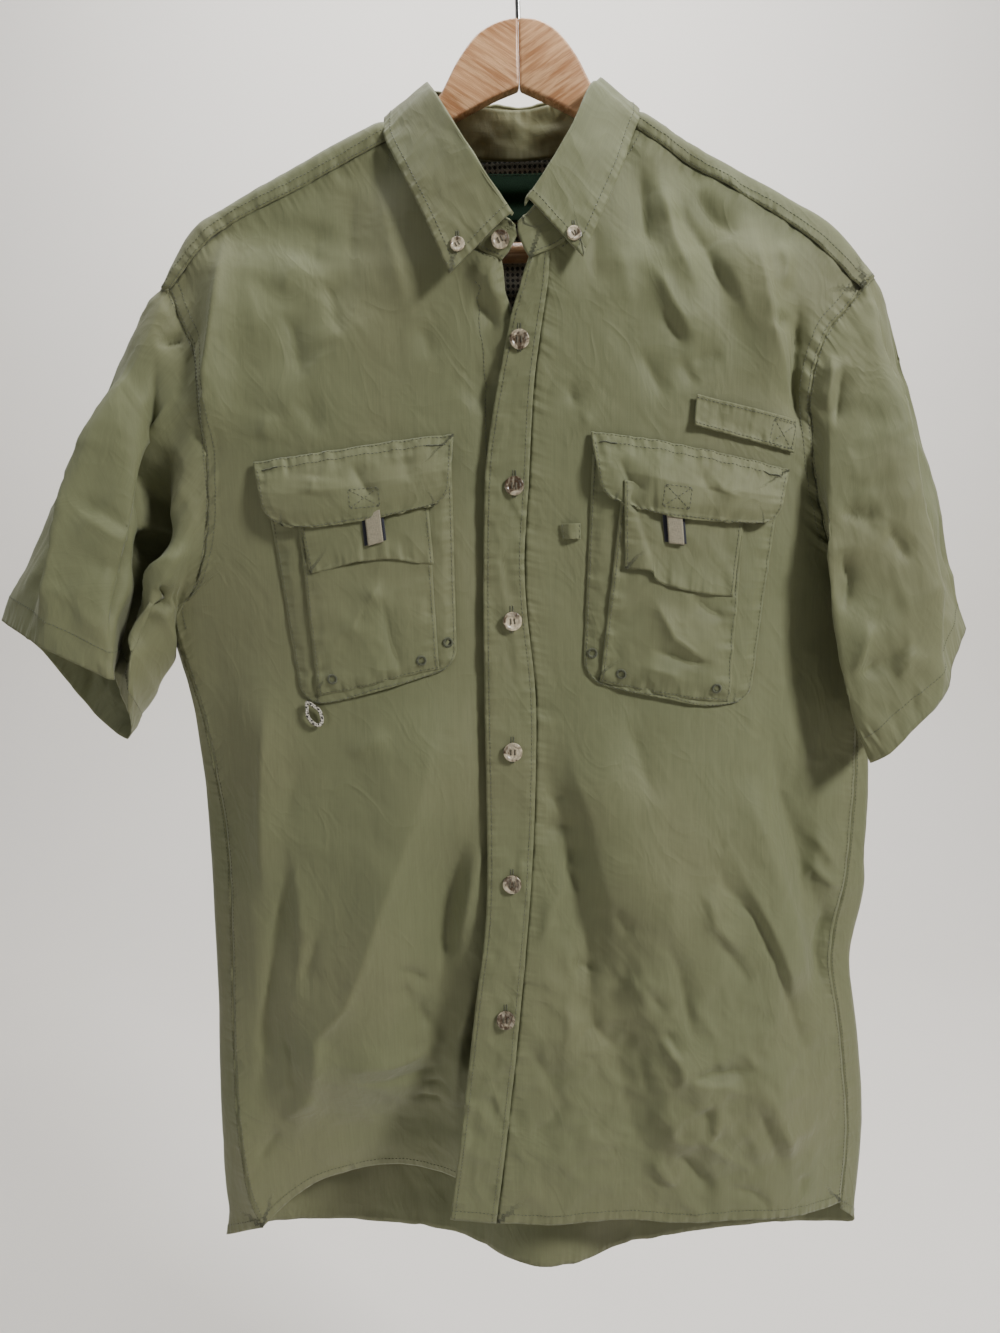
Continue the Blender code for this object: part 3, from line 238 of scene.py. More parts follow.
# Sleeves: a row per ring from the armhole to the hem. The eight corners are the back
# edge, front crease, front middle, valley, under lobe, underarm fold, low back, upper back.
SLEEVE_RIGHT = (
    ((-263.5, 1, -243), (-253, -11, -249), (-234.5, -16, -295), (-231.5, -21, -345), (-231.5, -21, -391),
     (-265, -5, -484), (-239, 22, -400), (-241, 24, -302)),
    ((-272, 4, -256), (-263, -17, -275), (-250, -24, -318), (-247, -22, -350), (-240, -25, -410),
     (-266, -4, -492), (-252, 25, -405), (-252, 24, -310)),
    ((-305, 8, -310), (-290, -26, -325), (-270, -32, -358), (-268, -20, -390), (-252, -27, -430),
     (-268, -2, -500), (-280, 27, -430), (-290, 24, -345)),
    ((-340, 9, -371), (-316, -31, -376), (-281, -34, -405), (-279, -13, -430), (-264, -32, -455),
     (-268, 1, -512), (-298, 27, -470), (-322, 24, -400)),
    ((-372, 10, -427), (-342, -34, -436), (-296, -38, -462), (-297, -8, -474), (-283, -37, -488),
     (-281, 2, -530), (-318, 26, -507), (-352, 23, -450)),
    ((-388, 11, -455), (-350, -35, -468), (-302, -40, -494), (-305, -6, -500), (-290, -38, -522),
     (-293, 3, -550), (-328, 25, -530), (-366, 22, -478)),
    ((-401, 12, -481), (-355, -35, -495), (-303, -40, -521), (-313, -8, -520), (-297, -24, -546),
     (-309, 2, -573), (-341, 22, -556), (-377, 20, -505)),
)
SLEEVE_LEFT = (
    ((255, 1, -247), (241.5, -11, -259), (214.5, -16.5, -290), (203.5, -21, -330), (207.5, -20, -390),
     (241, 4, -482), (230, 22, -400), (239, 24, -302)),
    ((262, 6, -262), (250, -19, -285), (227, -26, -315), (211, -30, -350), (210, -30, -404),
     (243, -4, -478), (240, 24, -405), (247, 24, -312)),
    ((279, 12, -305), (257, -30, -335), (232, -38, -365), (211, -40, -395), (211, -40, -432),
     (243, -13, -480), (262, 22, -425), (266, 24, -345)),
    ((297, 16, -360), (264, -36, -388), (240, -44, -412), (212, -44, -440), (213, -42, -476),
     (242, -17, -500), (274, 18, -455), (286, 24, -395)),
    ((313, 18, -415), (277, -39, -440), (248, -46, -462), (216, -46, -486), (220, -42, -520),
     (246, -19, -535), (284, 14, -492), (301, 23, -440)),
    ((326, 20, -470), (289, -39, -496), (258, -46, -515), (226, -46, -540), (231, -41, -562),
     (254, -20, -568), (292, 10, -530), (314, 23, -480)),
    ((338, 20, -505), (295, -38, -550), (272, -46, -570), (255, -47, -587), (244, -40, -595),
     (262, -20, -586), (297, 6, -553), (322, 20, -520)),
)

# Hanger arm outline on the wearer's left, mirrored for the other: columns x, z.
HANGER_TOP = (
    (0.2, -70.5), (14, -72.5), (27, -80), (40, -96), (52, -118), (67, -136), (82, -146.5), (97, -153.5),
    (150, -179), (190, -197.5), (208, -208), (214, -217),
)
HANGER_LOW = (
    (211, -229), (196, -233), (183, -222), (150, -197), (97, -167), (46, -137), (20, -124), (0.2, -115),
)
HANGER_TOP_RIGHT = (
    (0.2, -70.5), (14, -73), (29, -81), (43, -98), (56, -120), (70, -135), (85, -144), (99, -150.5),
    (150, -170), (190, -184.5), (210, -196), (217, -206),
)
HANGER_LOW_RIGHT = (
    (214, -227), (199, -233), (186, -219), (150, -193), (99, -162), (46, -135), (20, -122.5), (0.2, -115),
)

# Pockets. The wearer's right pocket is named first. Corner columns: x, z.
FLAP_RIGHT_TOP = ((-194, -370), (-160, -366), (-120, -361), (-85, -357), (-52, -354))
FLAP_RIGHT_LOW = ((-186, -411), (-160, -416), (-126, -414), (-96, -409), (-56, -400))
POCKET_RIGHT_TOP = ((-187, -384), (-150, -380), (-120, -377), (-85, -373), (-54, -370))
POCKET_RIGHT_LOW = ((-167, -540), (-150, -542), (-124, -537), (-93, -529), (-54, -517))
CENTRE_RIGHT_TOP = ((-164, -396), (-140, -393), (-115, -390), (-72, -386))
CENTRE_RIGHT_LOW = ((-154, -537), (-125, -532), (-96, -525), (-67, -519))
FLAP_LEFT_TOP = ((44, -355), (80, -360), (115, -367), (150, -375), (185, -384))
FLAP_LEFT_LOW = ((50, -399), (84, -411), (110, -417), (145, -420), (174, -421))
POCKET_LEFT_TOP = ((45, -370), (80, -375), (112, -382), (145, -389), (178, -397))
POCKET_LEFT_LOW = ((36, -527), (60, -536), (95, -544), (125, -550), (158, -548))
CENTRE_LEFT_TOP = ((66, -389), (95, -393), (122, -398), (152, -404))
CENTRE_LEFT_LOW = ((48, -531), (78, -538), (108, -544), (141, -548))
TAB_RIGHT = ((-118, -404), (-102, -403), (-116, -431), (-100, -427))
TAB_LEFT = ((92, -405), (108, -407), (94, -433), (110, -435))
STRAP = ((118, -331), (191, -349), (116, -352), (188, -372))
UTILITY_LOOP = ((22, -418), (36, -418), (23, -429), (36, -429))
LABEL = ((-28, -150), (32, -150), (-28, -186), (32, -186))
# columns: side, x, z, the layer it is sewn through
EYELETS = (
    ("right", -143, -524, "centre"),
    ("right", -79, -512, "centre"),
    ("right", -60, -500, "bag"),
    ("left", 43, -510, "bag"),
    ("left", 63, -525, "centre"),
    ("left", 131, -537, "centre"),
)
BUTTONS = ((-4.5, -292), (-10, -391), (-14, -486), (-15.5, -580), (-18, -678), (-25, -781))
COLLAR_BUTTONS = (("right", -45, -231), ("left", 33, -226))
STAND_BUTTON = (-16, -227)
CORD_LOOP = (-158, -548.9, 21, 12, 62)


# Creases finer than the folds: lift, the half widths on the two sides of the line
# (left or below it, then right or above it), and the points x, z that it runs through.
CREASES_RIGHT = (
    (3.5, 26, 9, ((-68, -546), (-75, -582), (-85, -624), (-102, -669), (-117, -704), (-128, -736),
     (-143, -768), (-166, -794), (-172, -834), (-177, -858), (-192, -889), (-204, -920))),
    (-2.2, 4, 9, ((-184, -644), (-187, -679), (-199, -725), (-207, -766), (-212, -796), (-214, -830),
     (-224, -862))),
    (1.5, 5, 9, ((-182, -641), (-177, -679), (-175, -717), (-180, -752), (-188, -785))),
    (-1.3, 6, 5, ((-160, -705), (-169, -735), (-181, -761))),
    (3, 7, 14, ((-32, -611), (-36, -642), (-49, -682), (-57, -717), (-62, -749))),
    (-2.5, 9, 6, ((-52, -645), (-62, -688), (-69, -734), (-76, -770))),
    (3, 7, 10, ((-45, -741), (-52, -776), (-60, -803), (-65, -840), (-71, -901))),
    (-2.2, 7, 6, ((-38, -750), (-42, -780), (-50, -803), (-55, -831))),
    (-1.6, 5, 3, ((-106, -742), (-92, -751), (-83, -762))),
    (-1.6, 4, 5, ((-93, -769), (-90, -784), (-85, -800))),
    (-1.5, 4, 4, ((-103, -754), (-97, -778))),
    (-1.6, 4, 7, ((-146, -837), (-118, -841), (-92, -839), (-68, -831))),
    (1.6, 6, 6, ((-152, -828), (-132, -823), (-97, -823), (-68, -803))),
    (-1.2, 4, 5, ((-102, -864), (-74, -868))),
    (-1.2, 5, 4, ((-98, -850), (-71, -849))),
    (1.6, 7, 7, ((-202, -876), (-182, -858), (-171, -848))),
    (-1.4, 4, 6, ((-225, -915), (-216, -901), (-205, -885))),
    (3, 9, 30, ((-193, -526), (-197, -565), (-202, -621), (-204, -667), (-205, -701))),
    (1.2, 9, 9, ((-135, -583), (-120, -572), (-101, -566))),
    (-1, 10, 10, ((-168, -579), (-180, -616), (-188, -644))),
    (-1.2, 5, 6, ((-197, -785), (-191, -815), (-190, -846), (-193, -867))),
    (5, 6, 26, ((-206, -206), (-209, -215), (-212, -231), (-215, -253), (-219, -278), (-225, -306),
     (-227, -328), (-231, -361))),
    (-1.8, 8, 12, ((-143, -244), (-135, -257), (-132, -272), (-128, -287))),
    (1.4, 16, 10, ((-151, -224), (-164, -243), (-170, -257))),
    (-2, 7, 12, ((-171, -266), (-163, -280), (-160, -295), (-159, -306), (-150, -313))),
    (-1.4, 12, 16, ((-116, -180), (-121, -205), (-121, -230), (-120, -250))),
    (1.6, 14, 14, ((-99, -175), (-96, -202), (-89, -238), (-78, -282))),
    (-1.2, 8, 8, ((-75, -278), (-68, -290), (-65, -304))),
    (-1.8, 8, 9, ((-19, -310), (-30, -327), (-39, -339))),
    (-1.4, 8, 8, ((-166, -330), (-153, -336), (-146, -354))),
    (1.2, 10, 10, ((-181, -335), (-186, -356))),
    (2.6, 8, 9, ((-38, -239), (-27, -253), (-11, -272))),
    (-2, 6, 8, ((-33, -260), (-24, -275), (-19, -287))),
    (1.3, 20, 24, ((-189, -206), (-194, -242), (-188, -271), (-186, -307))),
    (-1.1, 18, 20, ((-139, -204), (-152, -243))),
)
CREASES_LEFT = (
    (3.4, 18, 40, ((18, -545), (20, -564), (29, -597), (40, -630), (45, -660), (52, -688), (55, -720),
     (58, -748))),
    (-2.6, 14, 10, ((4, -556), (10, -599), (20, -632), (27, -666), (33, -700), (38, -734), (38, -765),
     (40, -791), (58, -811), (64, -853), (78, -902))),
    (-2.4, 5, 8, ((124, -654), (139, -685), (160, -708), (177, -743), (193, -792), (203, -821),
     (225, -838))),
    (2.2, 9, 7, ((138, -652), (156, -685), (174, -720), (188, -754), (198, -792))),
    (2, 5, 9, ((117, -684), (127, -696), (129, -711), (142, -726), (153, -738))),
    (-1.6, 6, 5, ((128, -721), (142, -736), (161, -765))),
    (-2, 6, 7, ((92, -718), (104, -749), (109, -778), (117, -810))),
    (1.6, 6, 6, ((65, -748), (79, -766), (88, -768))),
    (-1.5, 4, 5, ((76, -760), (88, -771), (95, -781))),
    (2.2, 5, 7, ((83, -792), (95, -804), (104, -820), (104, -842))),
    (-1.8, 4, 5, ((91, -789), (104, -810), (106, -815))),
    (-1.8, 4, 6, ((104, -822), (122, -829), (151, -829), (169, -826))),
    (1.5, 7, 4, ((106, -828), (129, -835), (151, -837))),
    (2.2, 7, 9, ((165, -828), (174, -850), (191, -894), (196, -924))),
    (-1.5, 6, 5, ((162, -850), (173, -883), (188, -923))),
    (1.8, 5, 6, ((129, -848), (132, -867), (125, -882), (141, -898), (138, -912))),
    (-1.7, 5, 5, ((123, -852), (125, -870), (118, -879))),
    (1.6, 6, 6, ((79, -851), (94, -863), (102, -880), (120, -882))),
    (2.2, 4, 7, ((81, -894), (92, -912), (104, -921))),
    (-1.6, 5, 5, ((101, -889), (118, -912), (129, -930))),
    (1.3, 6, 6, ((148, -864), (162, -889), (168, -913))),
    (-1.4, 5, 5, ((140, -924), (163, -931), (177, -945))),
    (-1.4, 4, 4, ((202, -944), (205, -923))),
    (3, 26, 10, ((149, -622), (161, -626), (176, -661), (196, -720), (214, -807))),
    (-3, 12, 14, ((175, -573), (185, -622), (201, -675), (204, -709), (203, -743))),
    (-3, 8, 8, ((216, -704), (223, -724), (215, -743), (219, -772), (227, -787))),
    (2.2, 7, 7, ((200, -698), (211, -681), (228, -696), (240, -703))),
    (1.8, 6, 6, ((208, -653), (219, -665), (232, -687))),
    (-1.2, 4, 5, ((5, -610), (16, -619), (27, -608))),
    (-1.3, 4, 5, ((2, -638), (18, -639), (33, -638))),
    (-1.4, 5, 5, ((31, -643), (23, -671), (35, -694))),
    (1.4, 5, 5, ((23, -678), (9, -699), (2, -732))),
    (-1.3, 4, 5, ((-9, -800), (1, -822), (10, -841))),
    (1.6, 6, 6, ((24, -767), (20, -802), (16, -833))),
    (-1.3, 4, 6, ((-16, -881), (6, -867), (21, -846))),
    (-1.4, 5, 5, ((25, -743), (46, -751))),
    (1.5, 6, 6, ((25, -808), (40, -811), (57, -805))),
    (-1.2, 5, 5, ((56, -694), (68, -720))),
    (1.3, 12, 12, ((101, -662), (96, -695), (101, -724))),
    (-1.6, 12, 12, ((67, -552), (77, -590), (86, -623))),
    (-3, 10, 14, ((82, -168), (83, -193), (85, -218), (94, -240))),
    (2.8, 9, 10, ((92, -172), (100, -204), (105, -229), (117, -255), (124, -271))),
    (-2.6, 12, 6, ((107, -183), (113, -210), (126, -230), (139, -257), (152, -276))),
    (2.6, 6, 9, ((83, -238), (94, -255), (102, -271), (113, -287), (124, -295))),
    (-1.8, 7, 7, ((94, -270), (102, -285), (113, -301))),
    (-2.2, 8, 8, ((119, -189), (132, -208), (144, -218), (151, -221))),
    (3.8, 22, 8, ((152, -204), (160, -217), (166, -251), (174, -291), (182, -316), (189, -342))),
    (-5, 9, 7, ((193, -260), (192, -294), (190, -316), (192, -338), (197, -368))),
    (-1.8, 6, 6, ((181, -275), (176, -289))),
    (2, 8, 8, ((178, -223), (184, -240), (181, -262))),
    (-1.6, 6, 8, ((78, -297), (87, -315), (98, -334))),
    (-1.4, 7, 7, ((105, -304), (113, -316), (120, -327))),
    (-1.6, 6, 6, ((27, -318), (35, -337), (41, -354))),
    (1.6, 6, 6, ((32, -331), (39, -345), (45, -353))),
    (-1, 6, 6, ((114, -309), (126, -306), (139, -304))),
    (1.8, 10, 12, ((131, -230), (144, -250), (153, -273), (162, -288))),
    (-1.4, 12, 12, ((49, -210), (48, -241), (51, -262))),
    (1.2, 12, 14, ((66, -229), (70, -257), (73, -277))),
)
CREASES_BACK = (
    (2.4, 12, 8, ((-60, -330), (-90, -440), (-130, -560), (-150, -680))),
    (-2.2, 9, 12, ((70, -340), (88, -470), (120, -620), (128, -760))),
    (-2, 8, 6, ((-180, -360), (-168, -470), (-185, -600))),
    (2, 8, 12, ((10, -420), (18, -560), (2, -720), (-8, -860))),
    (-1.8, 6, 7, ((-20, -640), (-42, -760), (-40, -880))),
    (1.8, 7, 6, ((150, -420), (176, -540), (168, -650))),
    (-1.6, 5, 6, ((-120, -780), (-70, -800), (-30, -790))),
    (1.6, 6, 5, ((40, -840), (90, -815), (140, -835))),
    (-1.6, 6, 5, ((100, -880), (150, -905), (190, -890))),
    (1.8, 6, 8, ((-200, -700), (-186, -790), (-200, -880))),
)
CREASES_YOKE_BACK = (
    (1.6, 12, 8, ((-90, -190), (-120, -230), (-160, -280))),
    (-1.4, 10, 12, ((60, -185), (96, -235), (130, -285))),
    (1.2, 14, 14, ((0, -180), (6, -240), (-6, -290))),
)
# Creases of the sleeves' front faces and back faces.
CREASES_SLEEVE_RIGHT = (
    (-11, 4, 9, ((-261, -292), (-268, -360), (-273, -418), (-288, -447), (-294, -477), (-302, -526))),
    (3.5, 3, 12, ((-276, -288), (-301, -336), (-321, -376), (-336, -423), (-358, -500))),
    (-3, 8, 5, ((-290, -291), (-313, -336), (-333, -379), (-348, -424), (-369, -496))),
    (-2.2, 4, 7, ((-323, -392), (-300, -404), (-277, -421))),
    (1.6, 6, 5, ((-321, -398), (-302, -411), (-280, -428))),
    (-2.5, 3, 4, ((-261, -285), (-249, -283), (-237, -281))),
    (5, 6, 8, ((-238, -424), (-263, -439), (-274, -448), (-288, -468), (-299, -509))),
    (-8, 4, 4, ((-271, -457), (-264, -467), (-259, -472))),
    (-3, 4, 5, ((-288, -503), (-277, -485), (-266, -474))),
    (-1.6, 5, 5, ((-313, -436), (-297, -441), (-292, -454))),
    (1.4, 6, 6, ((-242, -381), (-256, -395), (-265, -416))),
)
CREASES_SLEEVE_LEFT = (
    (4, 16, 3, ((244, -259), (249, -293), (259, -340), (266, -377), (271, -401), (279, -425), (288, -462),
     (293, -500), (299, -545))),
    (-7, 3, 13, ((250, -259), (255, -293), (265, -340), (271, -377), (276, -401), (284, -425), (294, -462),
     (299, -500), (305, -545))),
    (-2.4, 5, 6, ((217, -441), (225, -463), (220, -485))),
    (2.5, 6, 5, ((241, -489), (234, -506), (228, -532))),
    (-2.5, 5, 6, ((228, -530), (250, -522), (268, -510))),
    (2.2, 5, 5, ((268, -510), (264, -522), (259, -532))),
    (-2, 5, 6, ((215, -414), (235, -417), (247, -415))),
    (-1.8, 5, 5, ((248, -424), (259, -439), (266, -450))),
    (2.2, 6, 6, ((216, -302), (215, -323), (211, -346))),
    (-2.2, 5, 6, ((223, -311), (219, -333), (216, -356))),
)
CREASES_SLEEVE_BACKS = (
    (-2.2, 9, 9, ((-300, -360), (-322, -430), (-350, -500))),
    (2, 8, 10, ((-270, -340), (-286, -420), (-310, -500))),
    (-2.2, 9, 9, ((270, -340), (286, -420), (300, -500))),
    (2, 8, 10, ((292, -370), (306, -440), (318, -500))),
)
# Where the cloth is crumpled: x, z, half width, half height, amount.
CRUMPLED = (
    (130, -850, 95, 95, 1),
    (30, -800, 60, 150, 0.7),
    (-70, -850, 75, 80, 0.7),
    (-200, -800, 40, 140, 0.35),
    (200, -640, 50, 120, 0.5),
)
# The free lower edge of the strip across each pocket: columns x, z.
SLOT_RIGHT = ((-156, -449), (-138, -445), (-120, -441), (-97, -440), (-80, -443), (-68, -444))
SLOT_LEFT = ((66, -450), (84, -452.5), (88, -459), (103, -465), (127, -470), (143, -472))
# Boxes of stitching, crossed from corner to corner: centre x, z, wide, high, turn.
CROSS_BOXES = (
    ("flap_right", -115, -397, 21, 13, 4),
    ("flap_left", 102.5, -401.5, 19, 15, -8),
    ("strap", 180, -359, 17, 18, -14),
)
LINING_TOP = ((-56, -148), (0, -145), (52, -147))
LINING_LOW = ((-112, -292), (0, -294), (108, -292))
LABEL_DROP = 6.0
# Creases of the raised panels and the flaps of the pockets
CREASES_PANEL = {
    "right": (
        (1.6, 6, 8, ((-104, -452), (-120, -476), (-133, -497))),
        (-1.4, 7, 6, ((-112, -462), (-126, -490))),
        (-1.2, 6, 6, ((-106, -466), (-100, -500), (-92, -524))),
    ),
    "left": (
        (2, 7, 9, ((84, -468), (100, -500), (122, -516), (138, -520))),
        (-1.8, 5, 5, ((82, -506), (96, -512), (112, -518), (134, -519))),
        (-1.5, 5, 5, ((112, -470), (126, -482), (140, -488))),
        (1.2, 5, 6, ((76, -520), (92, -524), (110, -530))),
    ),
}
CREASES_FLAP = {
    "right": (
        (-1.5, 6, 7, ((-124, -372), (-116, -388), (-106, -400))),
        (1.2, 8, 8, ((-150, -380), (-152, -395))),
        (-1, 7, 7, ((-86, -368), (-84, -388))),
    ),
    "left": (
        (-1.6, 8, 8, ((62, -372), (70, -390), (84, -399))),
        (1.2, 8, 8, ((128, -384), (134, -398), (150, -404))),
        (-1.3, 7, 8, ((118, -380), (124, -396), (140, -402))),
    ),
}


def length(label, words, default, low, high):
    return FloatProperty(name=label, description=words, default=default, min=low, max=high, unit="LENGTH")


def share(label, words, default):
    return FloatProperty(name=label, description=words, default=default, min=0, max=4, subtype="FACTOR")


def power(label, words, default):
    return FloatProperty(name=label, description=words, default=default, min=0, max=500, unit="POWER")


def colour(label, words, default):
    return FloatVectorProperty(
        name=label, description=words, default=default, size=3, min=0, max=1, subtype="COLOR")


class ShirtSizes(bpy.types.PropertyGroup):
    cloth_thickness: length("Cloth thickness", "Thickness of the single cloth", 0.0007, 0.0002, 0.003)
    collar_thickness: length("Collar thickness", "Thickness of the collar and flaps", 0.0015, 0.0005, 0.004)
    hem_width: length("Hem width", "Width of the turned and stitched hems", 0.0075, 0.003, 0.03)
    stitch_length: length("Stitch length", "Length of one stitch", 0.0021, 0.001, 0.005)
    stitch_gap: length("Stitch gap", "Gap from one stitch to the next", 0.0008, 0.0002, 0.004)
    thread_across: length("Thread", "Width of the sewing thread", 0.00055, 0.0002, 0.002)
    crease_depth: share("Crease depth", "Share of the depth of the creases placed by hand", 2.8)
    crumple_depth: share("Crumple depth", "Share of the depth of the small crumples", 3.0)
    pucker_depth: share("Pucker depth", "Share of the depth of the puckers along the seams", 2.0)


class ShirtColours(bpy.types.PropertyGroup):
    cloth: colour("Cloth", "Colour of the shirt's cloth", (0.150, 0.160, 0.080))
    cloth_warm: colour("Warm cloth", "Colour of the cloth where it has faded warmer", (0.166, 0.164, 0.086))
    thread: colour("Thread", "Colour of the sewing thread", (0.070, 0.076, 0.038))
    mesh: colour("Mesh lining", "Colour of the mesh lining", (0.20, 0.185, 0.14))
    label: colour("Neck label", "Colour of the neck label", (0.008, 0.032, 0.014))
    tape: colour("Tab tape", "Colour of the tabs under the flaps", (0.270, 0.240, 0.165))
    tape_back: colour("Tab backing", "Colour of the dark backing of the tabs", (0.006, 0.007, 0.016))
    cord: colour("Cord", "Main colour of the flecked cord", (0.62, 0.58, 0.48))
    horn_light: colour("Light horn", "Light colour of the buttons", (0.56, 0.48, 0.34))
    horn_dark: colour("Dark horn", "Dark colour of the buttons", (0.07, 0.045, 0.026))
    wood_light: colour("Light wood", "Light colour of the hanger's wood", (0.74, 0.44, 0.23))
    wood_dark: colour("Dark wood", "Colour of the hanger's grain", (0.44, 0.20, 0.085))
    steel: colour("Steel", "Colour of the hook", (0.62, 0.62, 0.60))


class ShirtStage(bpy.types.PropertyGroup):
    key_power: power("Key light", "Power of the soft light on the right", 86.0)
    fill_power: power("Fill light", "Power of the soft light on the left", 12.0)
    rear_power: power("Backdrop light", "Power of the soft light on the backdrop", 110.0)
    room: share("Room light", "Strength of the even light of the room", 0.06)
    wall: colour("Backdrop", "Colour of the floor and the backdrop", (0.82, 0.785, 0.735))
    lens: FloatProperty(
        name="Lens", description="Focal length of the camera", default=27.034, min=10, max=200, unit="CAMERA")


def sizes():
    return bpy.context.scene.shirt_sizes


def colours():
    return bpy.context.scene.shirt_colours


# Smooth lines and grids


def curve_between(a, b, c, d, t):
    square = (2 * a - 5 * b + 4 * c - d) * t ** 2
    return 0.5 * (2 * b + (c - a) * t + square + (3 * b - a - 3 * c + d) * t ** 3)


def lengths(line):
    """How far along a line of points each of them is."""
    return np.concatenate([[0], np.cumsum(np.linalg.norm(np.diff(line, axis=0), axis=1))])


def read_off(at, run, values):
    """The values at given distances along a line, from those at its points."""
    return np.stack([np.interp(at, run, column) for column in values.T], axis=-1)


def smooth_line(points, count, closed=False):
    """Points evenly stepped along a smooth curve through the given ones."""
    p = np.array(points, float)
    n = len(p)
    fine = []
    for i in range(n if closed else n - 1):
        a = p[(i - 1) % n] if closed or i > 0 else 2 * p[0] - p[1]
        d = p[(i + 2) % n] if closed or i + 2 < n else 2 * p[-1] - p[-2]
        t = np.linspace(0, 1, 12, endpoint=False)[:, None]
        fine.append(curve_between(a, p[i], p[(i + 1) % n], d, t))
    fine.append((p[0] if closed else p[-1])[None])
    fine = np.concatenate(fine)
    run = lengths(fine)
    at = np.linspace(0, run[-1], count + 1)[:-1] if closed else np.linspace(0, run[-1], count)
    return read_off(at, run, fine)


def through_stations(rows, count):
    """Steps smoothly across stations: each row is an array of points, the result has count rows."""
    p = np.array(rows, float)
    n = len(p)
    out = []
    for s in np.linspace(0, n - 1, count):
        i = min(int(s), n - 2)
        a = p[i - 1] if i > 0 else 2 * p[0] - p[1]
        d = p[i + 2] if i + 2 < n else 2 * p[-1] - p[-2]
        out.append(curve_between(a, p[i], p[i + 1], d, s - i))
    return np.array(out)


def corner_line(corners, per_side):
    """A closed ring with the same number of steps from each corner to the next."""
    p = np.array(corners, float)
    n = len(p)
    out = []
    t = np.linspace(0, 1, per_side, endpoint=False)[:, None]
    for i in range(n):
        b, c = p[i], p[(i + 1) % n]
        out.append(0.55 * curve_between(p[i - 1], b, c, p[(i + 2) % n], t) + 0.45 * (b + (c - b) * t))
    return np.concatenate(out)


def along_line(points, share):
    return read_off(share, np.linspace(0, 1, 240), smooth_line(points, 240))


def patch_at(top, low, u, v, left=None, right=None):
    """Points x, z inside four edge lines, at shares u across and v down. Sides not given are straight."""
    left, right = left or (top[0], low[0]), right or (top[-1], low[-1])
    t, b = along_line(top, u), along_line(low, u)
    l, r = along_line(left, v), along_line(right, v)
    tl, tr = (np.array(p, float) for p in (top[0], top[-1]))
    bl, br = (np.array(p, float) for p in (low[0], low[-1]))
    u, v = u[..., None], v[..., None]
    corners = (tl * (1 - u) + tr * u) * (1 - v) + (bl * (1 - u) + br * u) * v
    return l * (1 - u) + r * u + t * (1 - v) + b * v - corners


def steps(rows, cols, bottom=1.0):
    """Even shares across and down; bottom above 1 sets the rows closer near the low edge."""
    v = 1 - (1 - np.linspace(0, 1, rows)) ** bottom
    return np.meshgrid(np.linspace(0, 1, cols), v)


def round_corners(u, v, wide, high):
    """Draws the shares in near the low edge, so that its corners are round."""
    b = np.clip((1 - v) / high, 0, 1)
    inset = wide * (1 - np.sqrt(np.clip(1 - (1 - b) ** 2, 0, 1)))
    return inset + u * (1 - 2 * inset)


# The lie of the cloth


def smooth_step(t):
    t = np.clip(t, 0, 1)
    return t * t * (3 - 2 * t)


def even_values(x, z, size, seed):
    """Smooth uneven values between -1 and 1, the same at each run."""
    gx, gz = x / size + 17.3 * seed, z / size - 9.7 * seed
    ix, iz = np.floor(gx), np.floor(gz)
    fx, fz = gx - ix, gz - iz
    fx, fz = fx * fx * (3 - 2 * fx), fz * fz * (3 - 2 * fz)

    def at(i, j):
        s = np.sin(i * 12.9898 + j * 78.233 + seed * 37.719) * 43758.5453
        return 2 * (s - np.floor(s)) - 1

    low = at(ix, iz) * (1 - fx) + at(ix + 1, iz) * fx
    high = at(ix, iz + 1) * (1 - fx) + at(ix + 1, iz + 1) * fx
    return low * (1 - fz) + high * fz


def crumple(x, z, size, seed):
    """Small bent facets with fairly sharp edges, between about -1 and 1."""
    wx = x + 0.4 * size * even_values(x, z, size * 0.9, seed + 5)
    wz = z + 0.4 * size * even_values(x, z, size * 0.9, seed + 6)
    a = even_values(wx * 0.94 + wz * 0.34, (wz * 0.94 - wx * 0.34) * 0.6, size, seed)
    b = even_values(wx * 0.8 - wz * 0.6, (wz * 0.8 + wx * 0.6) * 0.75, size * 0.55, seed + 1)
    return 0.65 * (1 - 2.4 * np.abs(a)) + 0.35 * (1 - 2.4 * np.abs(b))


def fold_lift(folds, x, z):
    """How far the folds stand out at a place."""
    total = np.zeros(np.shape(x))
    for x0, z0, x1, z1, half_width, lift in folds:
        dx, dz = x1 - x0, z1 - z0
        length = math.hypot(dx, dz)
        along = ((x - x0) * dx + (z - z0) * dz) / length ** 2
        across = ((x - x0) * dz - (z - z0) * dx) / length
        reach = smooth_step((1.15 - np.abs(along - 0.5) * 2) / 0.45)
        total = total + lift * reach * np.exp(-0.5 * (across / half_width) ** 2)
    return total


def crease_lift(creases, x, z):
    """How far the creases stand out: bent ridges and troughs, which may be steeper on one side."""
    total = np.zeros(np.shape(x))
    for lift, near, far, line in creases:
        best = np.full(np.shape(x), 1e9)
        side = np.zeros(np.shape(x))
        along = np.zeros(np.shape(x))
        run = 0.0
        for (x0, z0), (x1, z1) in zip(line, line[1:]):
            dx, dz = x1 - x0, z1 - z0
            n = math.hypot(dx, dz)
            t = np.clip(((x - x0) * dx + (z - z0) * dz) / n ** 2, 0, 1)
            ex, ez = x - (x0 + dx * t), z - (z0 + dz * t)
            d = np.hypot(ex, ez)
            closer = d < best
            side = np.where(closer, np.sign(ex * dz - ez * dx), side)
            along = np.where(closer, run + n * t, along)
            best = np.where(closer, d, best)
            run += n
        width = np.where(side > 0, near, far) * (1 + 0.18 * even_values(along, 0 * along, 24.0, lift))
        taper = smooth_step(np.minimum(along, run - along) / (0.38 * run) + 0.05)
        total = total + lift * taper * np.exp(-(best / width) ** 1.05)
    return total * sizes().crease_depth


